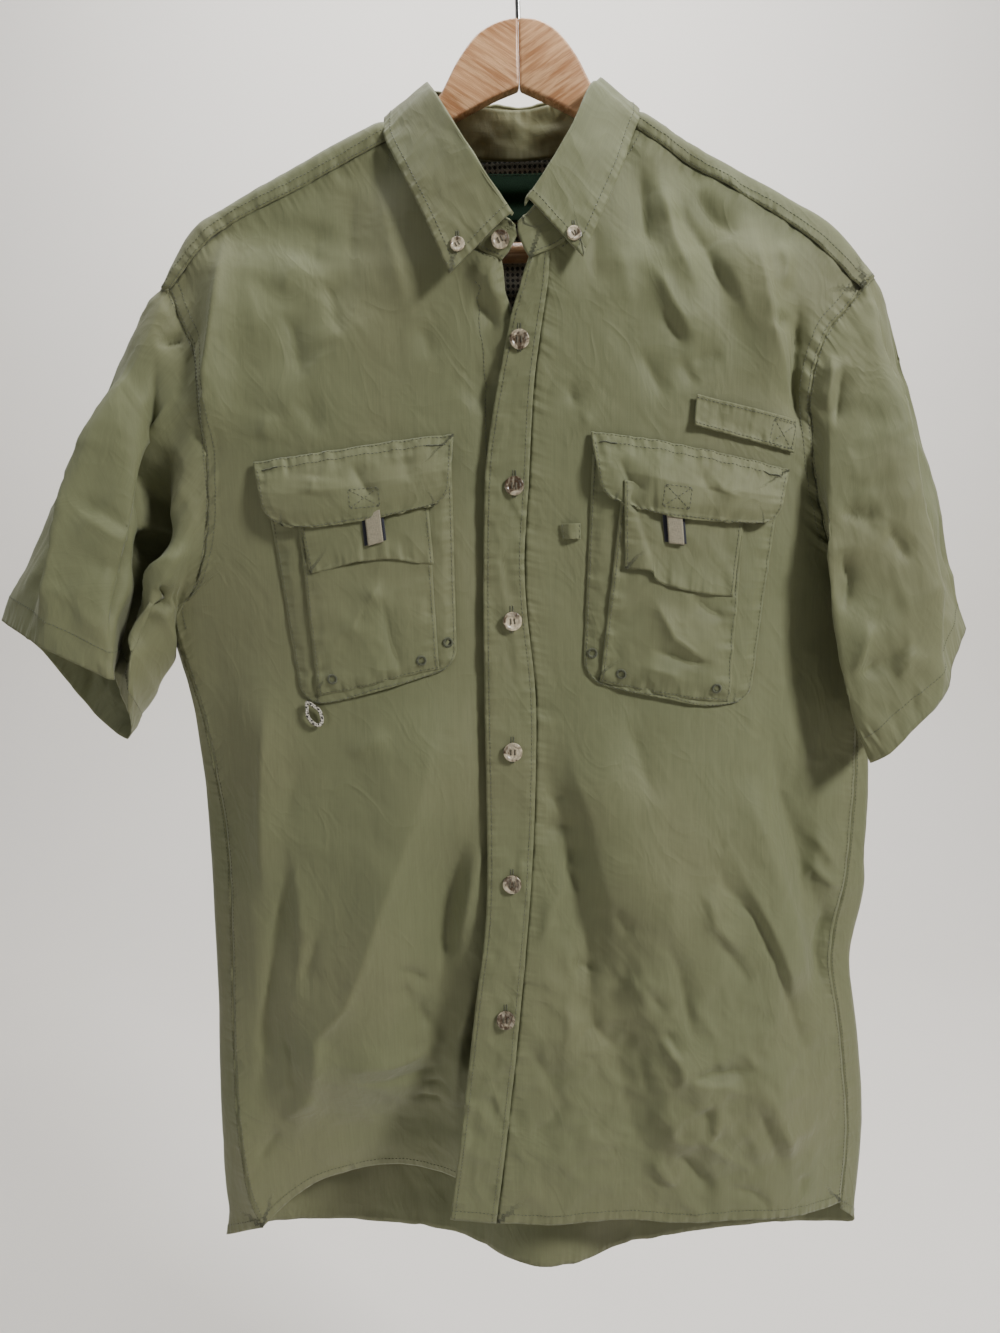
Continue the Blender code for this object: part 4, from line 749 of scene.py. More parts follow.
def crumple_lift(x, z, seed=3):
    amount = np.full(np.shape(x), CRUMPLE_BASE)
    for cx, cz, wide, high, share in CRUMPLED:
        amount = amount + share * 0.95 * np.exp(-((x - cx) / wide) ** 2 - ((z - cz) / high) ** 2)
    facets = 0.75 * crumple(x, z, 34, seed)
    facets = facets + 0.45 * crumple(x, z, 17, seed + 11) * np.minimum(amount * 1.6, 1)
    return amount * facets * sizes().crumple_depth


def table_depth(table, x, z):
    rows = np.array(table, float)
    s = np.interp(-z, -rows[:, 0], np.arange(len(rows)))
    i = np.minimum(s.astype(int), len(rows) - 2)
    t = s - i
    t = (t * t * (3 - 2 * t) * 0.5 + t * 0.5)[..., None]
    line = rows[i, 1:] * (1 - t) + rows[i + 1, 1:] * t
    u = np.clip(x / 60.0, 0.0, 4.3)
    k = np.minimum(u.astype(int), 3)

    def column(n):
        return np.take_along_axis(line, n[..., None], -1)[..., 0]

    a = np.where(k > 0, column(np.maximum(k - 1, 0)), line[..., 1])
    d = np.where(k < 3, column(np.minimum(k + 2, 4)), 2 * line[..., 4] - line[..., 3])
    return curve_between(a, column(k), column(k + 1), d, u - k)


def edge_x(line, z):
    p = np.array(line, float)
    order = np.argsort(p[:, 1])
    return np.interp(z, p[order, 1], p[order, 0])


def left_depth(x, z):
    x, z = np.asarray(x, float), np.asarray(z, float)
    y = table_depth(DEPTH_LEFT, np.maximum(x, 0.0), z) - fold_lift(FOLDS_LEFT, x, z)
    return y - crease_lift(CREASES_LEFT, x, z) - crumple_lift(x, z)


def right_depth(x, z):
    x, z = np.asarray(x, float), np.asarray(z, float)
    y = table_depth(DEPTH_RIGHT, np.maximum(-x, 0.0), z) - fold_lift(FOLDS_RIGHT, x, z)
    y = y - crease_lift(CREASES_RIGHT, x, z) - crumple_lift(x, z, seed=11)
    cover = edge_x(PLACKET_OUTER, z)
    near = np.clip((x - cover + 12.0) / 14.0, 0.0, 1.0)
    behind = left_depth(cover, z) + 5.0
    return y + np.where(z < -255, near * np.maximum(0.0, behind - y), 0.0)


def unit_normals(grid, closed=False):
    across = np.empty_like(grid)
    if closed:
        across = np.roll(grid, -1, axis=1) - np.roll(grid, 1, axis=1)
    else:
        across[:, 1:-1] = grid[:, 2:] - grid[:, :-2]
        across[:, 0] = grid[:, 1] - grid[:, 0]
        across[:, -1] = grid[:, -1] - grid[:, -2]
    down = np.empty_like(grid)
    down[1:-1] = grid[2:] - grid[:-2]
    down[0] = grid[1] - grid[0]
    down[-1] = grid[-1] - grid[-2]
    n = np.cross(down, across)
    return n / np.maximum(np.linalg.norm(n, axis=2, keepdims=True), 1e-9)


def raised(flat, depth, lift):
    """Stands x, z points in front of a panel by the lift given at each."""
    x, z = flat[..., 0], flat[..., 1]
    return np.stack([x, depth(x, z) - lift, z], axis=-1)


def turned(grid, side):
    """The grid with the side named as its first column."""
    g = grid if side in ("left", "right") else np.swapaxes(grid, 0, 1)
    return g[:, ::-1] if side in ("right", "low") else g


def from_side(grid, side):
    """Distances in from a side, and along it, for each point of a grid."""
    g = turned(grid, side)
    step = np.linalg.norm(np.diff(g, axis=1), axis=2)
    away = np.concatenate([np.zeros((g.shape[0], 1)), np.cumsum(step, axis=1)], axis=1)
    run = np.repeat(lengths(g[:, 0])[:, None], g.shape[1], axis=1)
    if side in ("right", "low"):
        away, run = away[:, ::-1], run[:, ::-1]
    return (away, run) if side in ("left", "right") else (away.T, run.T)


def pucker(grid, rows, outward=-1.0):
    """Puckers the cloth beside its seams, and lifts their stitched bands.

    Each row has the side, the depth, how far in it reaches, the step of the waves, a seed, the width
    of the stitched band, and the shares along the side where the seam starts and ends."""
    for side, depth, reach, step, seed, *rest in rows:
        band, start, end = (*rest, *(0, 0, 1)[len(rest):])
        away, run = from_side(grid, side)
        along = run / max(run.max(), 1e-6)
        inside = smooth_step((along - start) / 0.03 + 0.5) * smooth_step((end - along) / 0.03 + 0.5)
        wave = even_values(run, away * 0.25, step, seed)
        wave = wave + 0.5 * even_values(run, away * 0.3, step * 0.55, seed + 2)
        fall = np.exp(-(away / reach) ** 1.5) * (0.35 + 0.65 * smooth_step(away / 3))
        lift = depth * sizes().pucker_depth * wave * fall * inside
        if band:
            lift = lift + 0.35 * (1 - smooth_step((away - band) / 2)) * inside
        grid = grid - unit_normals(grid) * (lift * outward)[..., None]
    return grid


def line_in(grid, side, offset, start=0.0, end=1.0, outward=-1.0):
    """A line of points at a distance in from one side, with the way that the cloth faces there."""
    n = turned(unit_normals(grid) * -outward, side)
    g = turned(grid, side)
    first, last = int(round(start * (len(g) - 1))), int(round(end * (len(g) - 1)))
    points, normals = [], []
    for row, faces in zip(g[first:last + 1], n[first:last + 1]):
        away = lengths(row)
        points.append(read_off(offset, away, row))
        normals.append(read_off(offset, away, faces))
    return np.array(points), np.array(normals)


def settle(grid, places, outward=-1.0, lift=0.0):
    """Sets x, z places onto a grid of cloth: their points, and the way it faces there."""
    flat = grid.reshape(-1, 3)
    faces = (unit_normals(grid) * -outward).reshape(-1, 3)
    points, normals = [], []
    for x, z in places:
        away = np.hypot(flat[:, 0] - x, flat[:, 2] - z)
        near = np.argpartition(away, 4)[:4]
        weight = 1 / (away[near] + 0.05) ** 2
        weight /= weight.sum()
        n = (faces[near] * weight[:, None]).sum(0)
        n /= np.linalg.norm(n)
        # The tangent plane carries the rest of the way to the place itself.
        mean = (flat[near] * weight[:, None]).sum(0)
        slope = n[1] if abs(n[1]) > 0.2 else 0.2 * np.sign(n[1] or 1)
        y = mean[1] - ((x - mean[0]) * n[0] + (z - mean[2]) * n[2]) / slope
        points.append(np.array((x, y, z)) + n * lift)
        normals.append(n)
    return np.array(points), np.array(normals)


# The shirt's panels as grids of points, worked out once

made = {}


def shapes():
    if not made:
        front_grids()
        yoke_grid()
        back_grid()
        sleeve_grids()
        collar_grids()
        pocket_grids()
        strap_grids()
        lining_grids()
    return made


def front_grids():
    u, v = steps(300, 92, 1.08)
    sides, middle = RIGHT_ARMHOLE + RIGHT_SIDE[1:], RIGHT_NECK + RIGHT_CENTRE[1:]
    flat = patch_at(RIGHT_YOKE_SEAM, RIGHT_HEM, u, v, sides, middle)
    made["right_plain"] = right = raised(flat, right_depth, 0.0)
    away, _ = from_side(right, "right")
    # The neck edge is turned back on itself, so that it stands in a soft roll.
    z = right[..., 2]
    roll = 3.2 * np.exp(-((away - 9) / 7) ** 2) * smooth_step((z + 330) / 60) * smooth_step((-236 - z) / 12)
    right = right - np.stack([0 * roll, roll, 0 * roll], axis=-1)
    made["front_right"] = pucker(right, (
        ("left", 0.8, 11, 7, 2, 9, 0, 0.33), ("left", 0.35, 8, 11, 3, 0, 0.36),
        ("top", 0.4, 9, 8, 4), ("low", 0.4, 9, 9, 5, 7.5), ("right", 0.3, 8, 8, 6, 5, 0, 0.3),
    ))
    middle = tuple(reversed(LEFT_NECK)) + PLACKET_INNER[1:]
    u, v = steps(300, 92, 1.08)
    flat = patch_at(LEFT_YOKE_SEAM, LEFT_HEM, u, v, middle, LEFT_ARMHOLE + LEFT_SIDE[1:])
    made["left_plain"] = left = raised(flat, left_depth, 0.0)
    made["front_left"] = pucker(left, (
        ("right", 1.1, 12, 6.5, 7, 9, 0, 0.33), ("right", 0.35, 8, 11, 8, 0, 0.36),
        ("top", 0.4, 9, 8, 9), ("left", 0.5, 10, 11, 10), ("low", 0.4, 9, 9, 12, 7.5),
    ))
    u, v = steps(300, 20)
    top, low = ((PLACKET_OUTER[k], PLACKET_INNER[k]) for k in (0, -1))
    flat = patch_at(top, low, u, v, PLACKET_OUTER, PLACKET_INNER)
    edge = np.minimum(u, 1 - u)
    lift = 0.9 + 0.5 * smooth_step(edge / 0.16)
    lift = lift + 0.8 * crumple(flat[..., 0] * 1.1, flat[..., 1] * 0.8, 15, 21)
    strip = raised(flat, left_depth, lift)
    made["placket"] = pucker(strip, (("left", 0.35, 6, 8, 13), ("right", 0.45, 7, 8, 14)))


def yoke_grid():
    stations = []
    for front, crest, upper, seam in YOKE:
        front, crest, upper, seam = (np.array(p, float) for p in (front, crest, upper, seam))
        middle = 0.5 * (upper + seam) + (0, 1.5, 0)
        if front[1] < 0:
            near = np.array((crest[0] * 0.6 + front[0] * 0.4, -8.8, crest[2] - 3.0))
            far = np.array((crest[0] * 0.7 + upper[0] * 0.3, 9.2, crest[2] - 3.5))
            row = [front, near, crest, far]
        else:
            row = [front, front * 0.67 + crest * 0.33, front * 0.33 + crest * 0.67, crest]
        row += list(smooth_line((row[-1], upper, middle, seam), 7))[1:]
        stations.append(row)
    grid = through_stations(stations, 160)
    right, left = made["right_plain"], made["left_plain"]
    for j in range(len(grid)):
        x = grid[j, 0, 0]
        for panel in (right, left):
            edge = panel[0][np.argsort(panel[0][:, 0])]
            if grid[j, 0, 1] < 0 and edge[0, 0] - 2 < x < edge[-1, 0] + 2:
                grid[j, 0, 1] = np.interp(x, edge[:, 0], edge[:, 1]) - 0.9
                grid[j, 0, 2] = np.interp(x, edge[:, 0], edge[:, 2]) - 0.6
    made["yoke_plain"] = grid.transpose(1, 0, 2)
    grid = np.array([smooth_line(row, 50) for row in grid]).transpose(1, 0, 2)
    x, z = grid[..., 0], grid[..., 2]
    away, _ = from_side(grid, "top")
    seam, _ = from_side(grid, "low")
    behind = smooth_step((away - 40) / 40) * smooth_step((grid[..., 1] - 12) / 10)
    behind = behind * smooth_step((seam - 3) / 16)
    lift = behind * (1.5 * crease_lift(CREASES_YOKE_BACK, x, z) + 1.3 * crumple(x, z, 32.0, 8))
    lift = np.where(lift < 0, 0.25 * lift, lift)
    grid = grid - unit_normals(grid) * lift[..., None]
    made["yoke"] = pucker(grid, (
        ("top", 0.75, 13, 7, 15, 9), ("low", 0.3, 9, 9, 16, 8), ("left", 0.4, 9, 8, 17, 8),
        ("right", 0.4, 9, 8, 18, 8),
    ), outward=1.0)


def back_grid():
    right, left = made["right_plain"], made["left_plain"]
    stations = []
    for z_seam, z_mid, xr, yr, xro, yro, xlo, ylo, xl, yl, *depths in BACK:
        row = [(xr, yr, z_seam), (xro, yro, z_seam * 0.35 + z_mid * 0.65)]
        turn = (0.22 * yro + 0.78 * depths[0], 0.22 * ylo + 0.78 * depths[-1])
        for share, y in zip((-0.86, -0.6, -0.3, 0.0, 0.3, 0.6, 0.86), (turn[0], *depths, turn[1])):
            reach = abs(xro) if share < 0 else xlo
            low = z_mid + (z_seam - z_mid) * (0.35 * abs(share) ** 3)
            row.append((share * reach, y, low))
        row += [(xlo, ylo, z_seam * 0.35 + z_mid * 0.65), (xl, yl, z_seam)]
        stations.append(smooth_line(row, 140))
    grid = through_stations(stations, 200)
    rows, cols = grid.shape[:2]
    i, j = np.meshgrid(np.arange(rows), np.arange(cols), indexing="ij")
    edge = np.clip(np.minimum(j, cols - 1 - j) / (cols * 0.17), 0, 1)
    fall = np.clip(i / (rows * 0.17), 0, 1)
    x, z = grid[..., 0], grid[..., 2]
    lift = fold_lift(FOLDS_BACK, x, z) + 1.7 * crease_lift(CREASES_BACK, x, z)
    lift = lift + 0.75 * crumple(x, z, 34, 31) * sizes().crumple_depth
    grid[..., 1] += lift * edge * fall
    seam = made["yoke_plain"][-1]
    grid[0, :, 1] = np.interp(grid[0, :, 0], seam[:, 0], seam[:, 1]) - 0.5
    grid[0, :, 2] = np.interp(grid[0, :, 0], seam[:, 0], seam[:, 2]) + 0.5
    for panel, column, side in ((right[:, 0], 0, -1.0), (left[:, -1], cols - 1, 1.0)):
        order = np.argsort(panel[:, 2])
        z = grid[:, column, 2]
        at_x = np.interp(z, panel[order, 2], panel[order, 0]) + side * 0.3
        at_y = np.interp(z, panel[order, 2], panel[order, 1]) + 0.4
        low = z < -484
        move_x = np.where(low, at_x - grid[:, column, 0], 0)
        move_y = np.where(low, at_y - grid[:, column, 1], 0)
        for n in range(14):
            k = n if column == 0 else cols - 1 - n
            share = 1 - smooth_step(n / 14)
            grid[:, k, 0] += move_x * share
            grid[:, k, 1] += move_y * share
    made["back_plain"] = grid.copy()
    made["back"] = pucker(grid, (
        ("top", 0.4, 9, 9, 19), ("left", 0.35, 8, 11, 20), ("right", 0.35, 8, 11, 21),
        ("low", 0.45, 9, 9, 22, 7.5),
    ), outward=1.0)


def armhole_ring(yoke_end, front_edge, back_edge, corners, per_side, side):
    """The first ring of a sleeve, round the real edges of the panels it is sewn to."""
    front = [p for p in front_edge if p[2] > -484]
    back = [p for p in back_edge[::-1] if p[2] > -488]
    ends = [*yoke_end[2::-1], *front[::6], *back[::6], *yoke_end[:2:-1]]
    loop = smooth_line(ends, 1600, closed=True)
    at = [int(np.argmin(np.linalg.norm(loop - np.array(c, float), axis=1))) for c in corners]
    out = []
    for k, start in enumerate(at):
        run = (at[(k + 1) % len(at)] - start) % len(loop)
        if run > len(loop) * 0.6:
            run -= len(loop)
        for step in range(per_side):
            place = (start + int(round(run * step / per_side))) % len(loop)
            out.append(loop[place] - np.array((side * 0.4, 0, 0)))
    return np.array(out)


def sleeve_grid(name, rings, side, yoke_end, front_edge, back_edge, creases, seed):
    per_side = 21
    stations = [corner_line(ring, per_side) for ring in rings]
    ring = armhole_ring(yoke_end, front_edge, back_edge, rings[0], per_side, side)
    soft = ring.copy()
    for _ in range(3):
        soft = 0.5 * soft + 0.25 * (np.roll(soft, 1, axis=0) + np.roll(soft, -1, axis=0))
    stations[0] = soft
    grid = through_stations(stations, 88)
    n = unit_normals(grid, closed=True) * -side
    x, z = grid[..., 0], grid[..., 2]
    away, run = from_side(grid, "top")
    hem, _ = from_side(grid, "low")
    into = smooth_step(away / 14)
    faces_front = smooth_step(-n[..., 1] * 2.5)
    lift = crease_lift(creases, x, z) * faces_front
    lift = lift + crease_lift(CREASES_SLEEVE_BACKS, x, z) * (1 - faces_front)
    lift = lift + 0.55 * crumple(x * 1.1, z + grid[..., 1], 30.0, seed) * sizes().crumple_depth
    seam = 0.9 * sizes().pucker_depth * even_values(run, away * 0.2, 8, seed)
    seam = seam * np.exp(-(away / 15) ** 1.4) * smooth_step(away / 2)
    edge = 0.5 * sizes().pucker_depth * even_values(run, hem * 0.2, 9, seed + 1)
    edge = edge * np.exp(-((hem - 18) / 9) ** 2)
    edge = edge + 0.3 * (1 - smooth_step((hem - 20) / 2.5))
    made[name] = grid + n * (lift * into + seam + edge)[..., None]


def sleeve_grids():
    for name, rings, (_, side), edge, creases, seed in (
        ("right", SLEEVE_RIGHT, SLEEVE_WAYS[0], 0, CREASES_SLEEVE_RIGHT, 41),
        ("left", SLEEVE_LEFT, SLEEVE_WAYS[1], -1, CREASES_SLEEVE_LEFT, 51),
    ):
        panels = (made["yoke_plain"], made[name + "_plain"], made["back_plain"])
        sleeve_grid("sleeve_" + name, rings, side, *(panel[:, edge] for panel in panels), creases, seed)


def collar_grids():
    stand, leaf = [], []
    for foot, top, fold, edge in COLLAR:
        foot, top, fold, edge = (np.array(p, float) for p in (foot, top, fold, edge))
        stand.append([foot, foot * 0.66 + top * 0.34, foot * 0.33 + top * 0.67, top])
        out = edge - fold
        out[2] = 0
        out /= np.linalg.norm(out)
        rise = np.array((0, 0, 1.0))
        start = top * 0.35 + fold * 0.65 + out * 0.2
        near = fold + (edge - fold) * 0.12 + out * 1.2 + rise * 0.6
        far = [fold + (edge - fold) * share + out * by for share, by in ((0.4, 1.5), (0.7, 1.0))]
        leaf.append([start, fold + rise * 0.4, near, *far, edge])
    grid = through_stations(stand, 260)
    grid = np.array([smooth_line(row, 16) for row in grid])
    # Each end of the stand is rounded: how far it reaches at shares of its height.
    height = np.linspace(0, 1, grid.shape[1])
    ends = ((range(12), (-2.8, 1.5, 5.6, 3.5, 0.3)), (range(-1, -13, -1), (1.6, -1, -2.9, -1.5, 2)))
    for near, reach in ends:
        shift = np.interp(height, (0, 0.25, 0.7, 0.9, 1), reach)
        for k, row in enumerate(near):
            grid[row, :, 0] += shift * (1 - k / 12) ** 1.5
    x, z = grid[..., 0], grid[..., 2]
    behind = smooth_step((grid[..., 1] - 5) / 30)
    grid = grid + np.array((0, -3.0, -6.0)) * (behind * (1 - height))[..., None]
    lie = 2.2 * even_values(x, z * 2.5, 22.0, 61) + 1.6 * crumple(x, z * 1.6, 18.0, 66)
    grid = grid - unit_normals(grid) * (behind * lie * np.sin(math.pi * height))[..., None]
    made["collar_stand"] = grid
    grid = through_stations(leaf, 280)
    grid = np.array([smooth_line(row, 30) for row in grid])
    x, y, z = grid[..., 0], grid[..., 1], grid[..., 2]
    behind = smooth_step((y - 5) / 30)
    away, _ = from_side(grid, "left")
    fold = np.exp(-(away / 14) ** 2)
    rolls = 2.6 * even_values(x, 0 * x, 17, 62) + 1.5 * even_values(x, 0 * x, 8, 63)
    grid[..., 2] += behind * fold * rolls
    n = unit_normals(grid)
    wave = 0.7 * even_values(x * 0.9 + z * 0.45, z * 0.9 - x * 0.45, 17.0, 64) + 0.6 * crumple(x, z, 20.0, 65)
    grid = grid - n * (wave * smooth_step(away / 8))[..., None]
    made["collar_leaf"] = pucker(grid, (
        ("right", 0.3, 8, 6, 23, 6), ("top", 0.3, 7, 6, 24, 6), ("low", 0.3, 7, 6, 25, 6),
    ))
    made["front_right"] = meet_stand(made["front_right"], "right")
    made["front_left"] = meet_stand(made["front_left"], "left")
    made["placket"] = meet_stand(made["placket"], "top")


def meet_stand(grid, side, reach=24.0):
    """Draws the neck edge of a front up behind the foot of the collar's stand."""
    foot = made["collar_stand"][:, 0]
    edge = turned(grid, side)[:, 0]
    nearest = np.argmin(np.linalg.norm(edge[:, None] - foot[None], axis=2), axis=1)
    at_neck = smooth_step((edge[:, 2] + 256) / 8) * smooth_step((-158 - edge[:, 2]) / 25)
    shift = (foot[nearest] + (0, 2.0, 2.5) - edge) * at_neck[:, None]
    away, _ = from_side(grid, side)
    shift = shift[None] if side == "top" else shift[:, None]
    return grid + shift * (1 - smooth_step(away / reach))[..., None]


def place_on(corners, x, z):
    """Shares across and down a pocket bag at x, z."""
    tl, tr, bl, br = (np.array(p, float) for p in corners)
    u = np.full(np.shape(x), 0.5)
    v = np.full(np.shape(x), 0.5)
    for _ in range(6):
        left_x = tl[0] * (1 - v) + bl[0] * v
        right_x = tr[0] * (1 - v) + br[0] * v
        u = (x - left_x) / (right_x - left_x)
        top_z = tl[1] * (1 - u) + tr[1] * u
        low_z = bl[1] * (1 - u) + br[1] * u
        v = (z - top_z) / (low_z - top_z)
    return np.clip(u, 0, 1), np.clip(v, 0, 1)


def pocket_lift(u, v):
    return POCKET_PUFF * np.sin(math.pi * u) * np.sin(math.pi * (0.12 + 0.76 * v)) ** 0.6


def pocket_grids():
    for side, depth, bag_top, bag_low, mid_top, mid_low, flap_top, flap_low, slot, tab, seed in (
        ("right", right_depth, POCKET_RIGHT_TOP, POCKET_RIGHT_LOW, CENTRE_RIGHT_TOP, CENTRE_RIGHT_LOW,
         FLAP_RIGHT_TOP, FLAP_RIGHT_LOW, SLOT_RIGHT, TAB_RIGHT, 70),
        ("left", left_depth, POCKET_LEFT_TOP, POCKET_LEFT_LOW, CENTRE_LEFT_TOP, CENTRE_LEFT_LOW,
         FLAP_LEFT_TOP, FLAP_LEFT_LOW, SLOT_LEFT, TAB_LEFT, 90),
    ):
        corners = (bag_top[0], bag_top[-1], bag_low[0], bag_low[-1])

        def bag_height(x, z):
            u, v = place_on(corners, x, z)
            edge = np.minimum(np.minimum(u, 1 - u) * 130, (1 - v) * 150)
            return 1.0 + 1.9 * smooth_step(edge / 9.0) + pocket_lift(u, v)

        u, v = steps(84, 74, 1.3)
        flat = patch_at(bag_top, bag_low, round_corners(u, v, 0.10, 0.085), v)
        x, z = flat[..., 0], flat[..., 1]
        lift = bag_height(x, z) + 0.55 * crumple(x, z, 18.0, seed) * smooth_step(np.minimum(u, 1 - u) * 14)
        bag = raised(flat, depth, lift)
        made["bag_" + side] = pucker(bag, (
            ("left", 0.45, 7, 6, seed + 1, 2.5), ("right", 0.45, 7, 6, seed + 2, 2.5),
            ("low", 0.45, 7, 6, seed + 3, 2.5),
        ))

        def centre_height(x, z):
            return bag_height(x, z) + 2.1

        u, v = steps(86, 64, 1.15)
        flat = patch_at(mid_top, mid_low, u, v)
        x, z = flat[..., 0], flat[..., 1]
        edge = np.minimum(u, 1 - u)
        height = centre_height(x, z) + 0.9 * crumple(x, z, 24, seed + 7) * smooth_step(edge * 9)
        height = height + 0.7 * np.sin(math.pi * u) * np.sin(math.pi * v)
        height = height + crease_lift(CREASES_PANEL[side], x, z)
        height = height - 2.0 * np.clip(1 - (1 - v) / 0.06, 0, 1) ** 2
        centre = raised(flat, depth, height)
        centre = pucker(centre, (
            ("left", 0.9, 10, 7, seed + 8, 2.5), ("right", 0.9, 10, 7, seed + 9, 2.5),
            ("low", 0.5, 7, 7, seed + 10),
        ))
        # Each side edge is folded under, as a pleat is.
        made["centre_stitch_" + side] = centre
        first, last = centre[:, :1], centre[:, -1:]
        across = (centre[:, 1:2] - first) / np.linalg.norm(centre[:, 1:2] - first, axis=2, keepdims=True)
        back = (centre[:, -2:-1] - last) / np.linalg.norm(centre[:, -2:-1] - last, axis=2, keepdims=True)
        down = np.array((0, 1.0, 0))
        turns = ((6, 2.3), (2, 2.0), (-0.25, 1.0))
        left_fold = [first + across * by + down * deep for by, deep in turns]
        right_fold = [last + back * by + down * deep for by, deep in reversed(turns)]
        made["centre_" + side] = np.concatenate(left_fold + [centre] + right_fold, axis=1)

        u, v = steps(40, 64)
        flat = patch_at(mid_top, slot, u, v)
        x, z = flat[..., 0], flat[..., 1]
        height = centre_height(x, z) + 1.25 + 0.8 * crumple(x, z, 20, seed + 12)
        height = height + 1.2 * smooth_step((v - 0.6) / 0.4) * np.sin(math.pi * u)
        if side == "left":
            line = np.interp(-z, (405, 412, 456), (70, 74, 87))
            height = height + 2.0 / (1 + np.exp((x - line) / 0.8))
        strip = raised(flat, depth, height)
        made["facing_" + side] = pucker(strip, (
            ("low", 0.7, 12, 8, seed + 13), ("left", 0.5, 7, 7, seed + 14),
        ))

        full = 1.1 + 1.2 + 2.0 + POCKET_PUFF + 4.0 + 1.2

        u, v = steps(54, 108, 1.25)
        across = round_corners(u, v, 0.085, 0.26)
        flat = patch_at(flap_top, flap_low, across, v)
        x, z = flat[..., 0], flat[..., 1]
        edge = 1.0 - 0.25 * np.abs(2 * across - 1) ** 3
        lift = 2.0 + (full - 2.0) * np.clip(v * 1.9, 0, 1) ** 0.8 * edge
        lift = lift - 1.6 * smooth_step((v - 0.75) / 0.25)
        lift = lift + 0.8 * crumple(x, z, 26.0, seed + 17) * smooth_step(v * 3)
        if side == "left":
            line = np.interp(-z, (378, 415), (87, 88))
            rise = smooth_step((v - 0.35) / 0.5)
            lift = lift + 1.7 * smooth_step((x - line) / 2.4 + 0.5) * rise - 1.0 * rise
        lift = lift + crease_lift(CREASES_FLAP[side], x, z)
        flap = raised(flat, depth, lift)
        made["flap_" + side] = pucker(flap, (
            ("top", 0.8, 14, 5.5, seed + 18, 7.5), ("low", 0.5, 7, 6, seed + 19, 3),
            ("left", 0.45, 6, 6, seed + 20, 3), ("right", 0.45, 6, 6, seed + 21, 3),
        ))

        u, v = steps(22, 10)
        flat = patch_at(tab[:2], tab[2:], 0.16 + 0.68 * u, v)
        x, z = flat[..., 0], flat[..., 1]
        over = centre_height(x, z) + 1.8
        made["tab_" + side] = raised(flat, depth, over + 2.0 + 0.5 * np.sin(math.pi * v))
        flat = patch_at(tab[:2], tab[2:], -0.04 + 1.0 * u, v * 0.97)
        made["tab_backing_" + side] = raised(flat, depth, centre_height(flat[..., 0], flat[..., 1]) + 2.4)


def strap_grids():
    u, v = steps(24, 72)
    flat = patch_at(STRAP[:2], STRAP[2:], u, v)
    x, z = flat[..., 0], flat[..., 1]
    lift = 2.1 + 1.6 * (1 - smooth_step(u / 0.16))
    lift = lift + 1.2 * smooth_step((v - 0.6) / 0.4) * (1 - smooth_step((u - 0.5) / 0.3))
    strap = raised(flat, left_depth, lift + 0.4 * crumple(x, z, 14, 131))
    made["strap"] = pucker(strap, (("top", 0.4, 6, 6, 132, 2), ("low", 0.5, 6, 6, 133, 2)))
    u, v = steps(14, 30)
    flat = patch_at(UTILITY_LOOP[:2], UTILITY_LOOP[2:], u, v)
    made["loop"] = raised(flat, left_depth, 1.7 + 3.0 * np.sin(math.pi * u))


def lining_depth(x, z):
    """Depth just inside the back yoke."""
    behind = made["yoke_plain"].reshape(-1, 3)
    behind = behind[behind[:, 1] > 12]
    away = np.hypot(behind[:, 0] - x[..., None], behind[:, 2] - z[..., None]) + 1.0
    weight = 1.0 / away ** 3
    return (weight * behind[:, 1]).sum(-1) / weight.sum(-1) - 4.1


def lining_grids():
    u, v = steps(56, 76)
    flat = patch_at(LINING_TOP, LINING_LOW, u, v)
    x, z = flat[..., 0], flat[..., 1]
    soft = -2.5 * (1 - smooth_step(v / 0.06)) + 1.1 * np.exp(-((z + 163 + 5 * (x / 50) ** 2) / 5) ** 2)
    soft = soft + 0.7 * even_values(x, z, 26, 120)
    made["lining"] = np.stack([x, lining_depth(x, z) - soft, z], axis=-1)
    u, v = steps(24, 40)
    flat = patch_at(LABEL[:2], LABEL[2:], u, v) - (0, LABEL_DROP)
    x, z = flat[..., 0], flat[..., 1]
    depth = lining_depth(x, z) - 3.4 - 0.6 * even_values(x, z, 22, 121) - 0.8 * v
    made["label"] = np.stack([x, depth, z], axis=-1)


# Materials

THREADS = 9000
CRINKLE_BUMP = 0.0019
WEAVE_BUMP = 0.00008


class Value:
    """A number or a vector that a node tree works out, for use in sums."""

    def __init__(self, tree, socket):
        self.tree, self.socket = tree, socket

    def maths(self, kind, other=None):
        m = self.tree.nodes.new("ShaderNodeMath")
        m.operation = kind
        put(self, m.inputs[0])
        if other is not None:
            put(other, m.inputs[1])
        return Value(self.tree, m.outputs[0])

    def __add__(self, other):
        return self.maths("ADD", other)

    def __sub__(self, other):
        return self.maths("SUBTRACT", other)

    def __mul__(self, other):
        return self.maths("MULTIPLY", other)

    def sine(self):
        return self.maths("SINE")


def put(value, socket):
    """Links a value to a socket, or sets the socket to a colour or a number."""
    if isinstance(value, Value):
        value.tree.links.new(value.socket, socket)
    else:
        socket.default_value = (*value, 1.0) if isinstance(value, tuple) else value


def noise(place, scale, stretch=(1, 1, 1), turn=None, detail=2.0, rough=0.5, distort=0.0):
    tree = place.tree
    for label, by in (("Rotation", turn), ("Scale", stretch)):
        if by:
            mapping = tree.nodes.new("ShaderNodeMapping")
            mapping.inputs[label].default_value = by
            put(place, mapping.inputs["Vector"])
            place = Value(tree, mapping.outputs[0])
    n = tree.nodes.new("ShaderNodeTexNoise")
    for label, value in (("Scale", scale), ("Detail", detail), ("Roughness", rough), ("Distortion", distort)):
        n.inputs[label].default_value = value
    put(place, n.inputs["Vector"])
    return Value(tree, n.outputs["Fac"])


